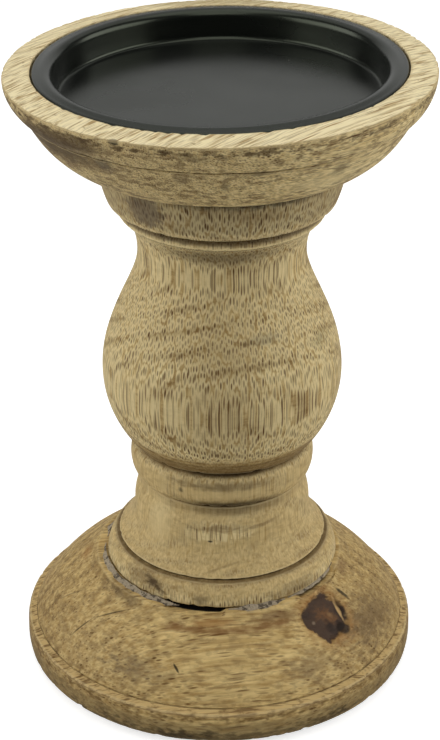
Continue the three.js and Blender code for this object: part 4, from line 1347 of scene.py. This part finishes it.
plate_outline = (
    Outline(0, PAN_UNDER)
    .line(PAN_FLOOR_RADIUS - FLOOR_BEND, PAN_UNDER, 6)
    .ease((PAN_FLOOR_RADIUS + SHEET, PAN_UNDER), (PAN_FLOOR_RADIUS + SHEET, PAN_FLOOR + FLOOR_BEND), 8)
    .line(PAN_WALL + SHEET, FLANGE_TOP - LIP_BEND, 2)
    .ease((PAN_WALL + SHEET, FLANGE_UNDER), (PAN_WALL + LIP_BEND, FLANGE_UNDER), 6)
    .line(TURN_DOWN - FLANGE_DROP, FLANGE_UNDER, 2)
    .ease((TURN_DOWN, FLANGE_UNDER), (TURN_DOWN, FLANGE_UNDER - FLANGE_DROP), 4)
    .line(FLANGE_RADIUS - 0.15, FLANGE_UNDER - FLANGE_DROP)
    .ease((FLANGE_RADIUS, FLANGE_UNDER - FLANGE_DROP), (FLANGE_RADIUS, FLANGE_UNDER - FLANGE_DROP + 0.15), 2)
    .line(FLANGE_RADIUS, FLANGE_UNDER)
    .ease((FLANGE_RADIUS, FLANGE_TOP - FLANGE_FALL), (TURN_DOWN - 0.1, FLANGE_TOP - FLANGE_FALL), 8)
    .line(PAN_WALL + LIP_BEND, FLANGE_TOP, 4)
    .ease((PAN_WALL, FLANGE_TOP), (PAN_WALL, FLANGE_TOP - LIP_BEND), 10)
    .line(PAN_FLOOR_RADIUS, PAN_FLOOR + FLOOR_BEND, 3)
    .ease((PAN_FLOOR_RADIUS, PAN_FLOOR), (PAN_FLOOR_RADIUS - FLOOR_BEND, PAN_FLOOR), 10)
    .line(0, PAN_FLOOR, 8)
)
plate = spin_part(plate_outline, PLATE_STEPS, closed=False)
for vert in plate.verts:
    vert.co.z += vert.co.x * RIM_LEAN
finish_piece(plate, "pressed_plate", coat, "plate", "candle_plate")

# %% [markdown]
# ## Filler in the seam
# Where the stem stands on the foot, grey filler was pressed into the seam and left as a rough bead, thickest
# on the left. It is missing at the front, where the seam shows as a black line, and thin on the right.

# %% Wood filler
LUMP_LENGTH, GRIT_LENGTH = 1.25, 1 / 2.2  # mm
CRACK_SPAN, CRACK_SHARE = (0.5, 0.4), 0.8
FILLER_DARK, FILLER_PALE, FILLER_CRACK = "#706350", "#c4b599", "#35291c"
GRIT_STRENGTH, GRIT_DEPTH = 0.6, 0.2  # depth in mm

filler_material, tree = new_material("dried wood filler")
places = places_in_mm(tree)
lumps = clouds(tree, places, LUMP_LENGTH, 6.0).outputs[0]
grit = clouds(tree, places, GRIT_LENGTH, 3.0).outputs[0]
crack = ramp(tree, lumps, CRACK_SPAN, (0.0, CRACK_SHARE), "SMOOTHSTEP")
filler_tone = mix(tree, grit, linear(FILLER_DARK), linear(FILLER_PALE))
filler_settings = {
    "Base Color": mix(tree, crack, filler_tone, linear(FILLER_CRACK)),
    "Roughness": 0.9,
    "Normal": bumps(tree, grit, GRIT_STRENGTH, GRIT_DEPTH),
}
finish_material(tree, filler_settings)

# %% [markdown]
# Each run of filler is a small section spun part of the way round, with its ends filled in. Then a noise
# makes it lumpy, and the section shrinks towards the plinth where a run thins out.

# %% Filler: runs round the plinth
FillerRun = namedtuple("FillerRun", "start end fullness")  # degrees round Z, and a share of the section
FILLER_RUNS = [
    FillerRun(-182, -110, 1.0),
    FillerRun(-86, -57, 1.0),
    FillerRun(-55, -16, 0.5),
    FillerRun(28, 172, 1.0),
]
FILLER_DEGREES_PER_STEP = 1.0
FILLER_TAPER = 9.0  # degrees over which an end thins out
FILLER_INNER = PLINTH_RADIUS + 0.1
FILLER_SEAT = FOOT_TOP + 0.1
FILLER_SECTION = [(0.0, 0.0), (1.7, -0.45), (1.4, 0.0), (0.75, 0.4), (0.2, 0.95), (0.0, 1.1)]
FILLER_LUMP_LENGTH = 2.6  # mm
FILLER_MEAN, FILLER_LUMPS, FILLER_LEAST = 0.75, 0.6, 0.15  # shares of the section


def filler_share(place):
    """How much of the section is left at a place."""
    degrees = math.degrees(math.atan2(place.y, place.x))
    full = 0.0
    for run in FILLER_RUNS:
        for turned in (degrees, degrees - 360):
            to_end = min(turned - run.start, run.end - turned) / FILLER_TAPER
            full = max(full, run.fullness * min(1.0, to_end))
    lumpy = full * (FILLER_MEAN + FILLER_LUMPS * noise.noise(place / FILLER_LUMP_LENGTH))
    return max(FILLER_LEAST, lumpy)


filler = bmesh.new()
for run in FILLER_RUNS:
    corners = [Vector((FILLER_INNER + out, 0, FILLER_SEAT + up)) for out, up in FILLER_SECTION]
    ring = [filler.verts.new(corner * MM) for corner in corners]
    loop = [filler.edges.new(pair) for pair in zip(ring, ring[1:] + ring[:1])]
    bmesh.ops.rotate(filler, verts=ring, matrix=Matrix.Rotation(math.radians(run.start), 3, "Z"))
    bmesh.ops.spin(
        filler,
        geom=ring + loop,
        cent=(0, 0, 0),
        axis=(0, 0, 1),
        dvec=(0, 0, 0),
        angle=math.radians(run.end - run.start),
        steps=round((run.end - run.start) / FILLER_DEGREES_PER_STEP),
    )
bmesh.ops.holes_fill(filler, edges=[edge for edge in filler.edges if edge.is_boundary])
bmesh.ops.recalc_face_normals(filler, faces=filler.faces)
for vert in filler.verts:
    place = vert.co / MM
    share = filler_share(place)
    radius = place.to_2d().length
    inner = FILLER_INNER + (radius - FILLER_INNER) * share
    vert.co.x *= inner / radius
    vert.co.y *= inner / radius
    vert.co.z = (FILLER_SEAT + (place.z - FILLER_SEAT) * share) * MM
finish_piece(filler, "filler_bead", filler_material, "stand", "seam_filler")

# %% [markdown]
# ## Felt pads
# Four discs of pressed brown felt keep the foot off the table. Felt has no weave: it is matted wool, so the
# cut edge is soft and uneven, and single hairs catch the light.

# %% Wool felt
HAIR_WIDTH = 0.12  # mm
WAVES_PER_HAIR = 0.35
MAT_LENGTH = 1 / 0.9  # mm
WOOL_DARK, WOOL_PALE, WOOL_BROWN = "#2b251f", "#54493d", "#3b332a"
HAIR_STRENGTH, HAIR_DEPTH = 0.8, 0.15  # depth in mm

felt, tree = new_material("pressed wool felt")
places = places_in_mm(tree)
mat = clouds(tree, places, MAT_LENGTH, 5.0, Distortion=1.5).outputs[0]
hair = clouds(tree, places, HAIR_WIDTH / WAVES_PER_HAIR, 3.0, Distortion=3.0).outputs[0]
wool = mix(tree, hair, linear(WOOL_DARK), linear(WOOL_PALE))
felt_settings = {
    "Base Color": mix(tree, mat, wool, linear(WOOL_BROWN)),
    "Roughness": 0.95,
    "Sheen Weight": 0.4,
    "Sheen Roughness": 0.5,
    "Normal": bumps(tree, hair, HAIR_STRENGTH, HAIR_DEPTH),
}
finish_material(tree, felt_settings)

# %% Felt pads: discs with soft edges
FELT_COUNT = 4
FELT_SEGMENTS = 48
FELT_EDGE = 0.35  # mm
FELT_INSET = 1.5  # mm
FRAY_LENGTH = 1 / 1.3  # mm
FRAY_DEPTH = 0.12  # mm
FRAY_REACH = 1.2  # how far in from the rim it frays, in widths of the rounded edge

for number in range(1, FELT_COUNT + 1):
    node = f"felt_pad_{number}"
    low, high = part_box(node)
    middle = (low + high) / 2
    thick = high.z - low.z
    pad_radius = (high.x - low.x) / 2
    pad = bmesh.new()
    bmesh.ops.create_cone(
        pad,
        cap_ends=True,
        segments=FELT_SEGMENTS,
        radius1=pad_radius,
        radius2=pad_radius,
        depth=thick,
        matrix=Matrix.Translation(middle),
    )
    rims = [edge for edge in pad.edges if abs(edge.verts[0].co.z - edge.verts[1].co.z) < thick / 2]
    edge_width = FELT_EDGE * MM
    bmesh.ops.bevel(pad, geom=rims, offset=edge_width, segments=3, profile=0.5, affect="EDGES", material=-1)
    caps = [face for face in pad.faces if len(face.verts) > 4]
    bmesh.ops.inset_region(pad, faces=caps, thickness=FELT_INSET * MM)
    pad.normal_update()
    for vert in pad.verts:
        out = (vert.co - middle).to_2d()
        if out.length > pad_radius - FRAY_REACH * edge_width:
            frayed = noise.noise(vert.co / MM / FRAY_LENGTH) * FRAY_DEPTH - FRAY_DEPTH
            vert.co += Vector((*out.normalized(), 0)) * frayed * MM
    piece = finish_piece(pad, f"felt_disc_{number}", felt, "stand", node, sharp_angle=80)

# %% [markdown]
# ## Screws and washers
# A pan-head wood screw and a washer lock each joint: one under the foot, one under the candle plate. The
# frame's own screws and washers stay, threads and all, and get a coat of zinc: bright metal with a faint
# yellow bloom, and fine scratches that roughen it.

# %% Zinc-plated steel
BLOOM_LENGTH = 1 / 0.35  # mm
SCRATCH_LENGTH = 4.0  # mm
SCRATCHES_PER_MM = 6.0
ZINC_GREY, ZINC_YELLOW = "#b4b6b3", "#c6c1ae"
ZINC_ROUGHNESS = (0.24, 0.42)
SCRATCH_STRENGTH, SCRATCH_DEPTH = 0.2, 0.02  # depth in mm

zinc, tree = new_material("steel, zinc plated")
places = places_in_mm(tree)
bloom = clouds(tree, places, BLOOM_LENGTH, 4.0).outputs[0]
drawn = stretch(tree, places, (SCRATCHES_PER_MM, 1 / SCRATCH_LENGTH, SCRATCHES_PER_MM))
scratch = clouds(tree, drawn, 1.0, 2.0).outputs[0]
zinc_settings = {
    "Base Color": mix(tree, bloom, linear(ZINC_GREY), linear(ZINC_YELLOW)),
    "Metallic": 1.0,
    "Roughness": ramp(tree, scratch, NOISE_SPAN, ZINC_ROUGHNESS),
    "Normal": bumps(tree, scratch, SCRATCH_STRENGTH, SCRATCH_DEPTH),
}
finish_material(tree, zinc_settings)
for node in ("base_screw", "base_washer", "dish_screw", "dish_washer"):
    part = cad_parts[node]
    part.data.materials.clear()
    part.data.materials.append(zinc)
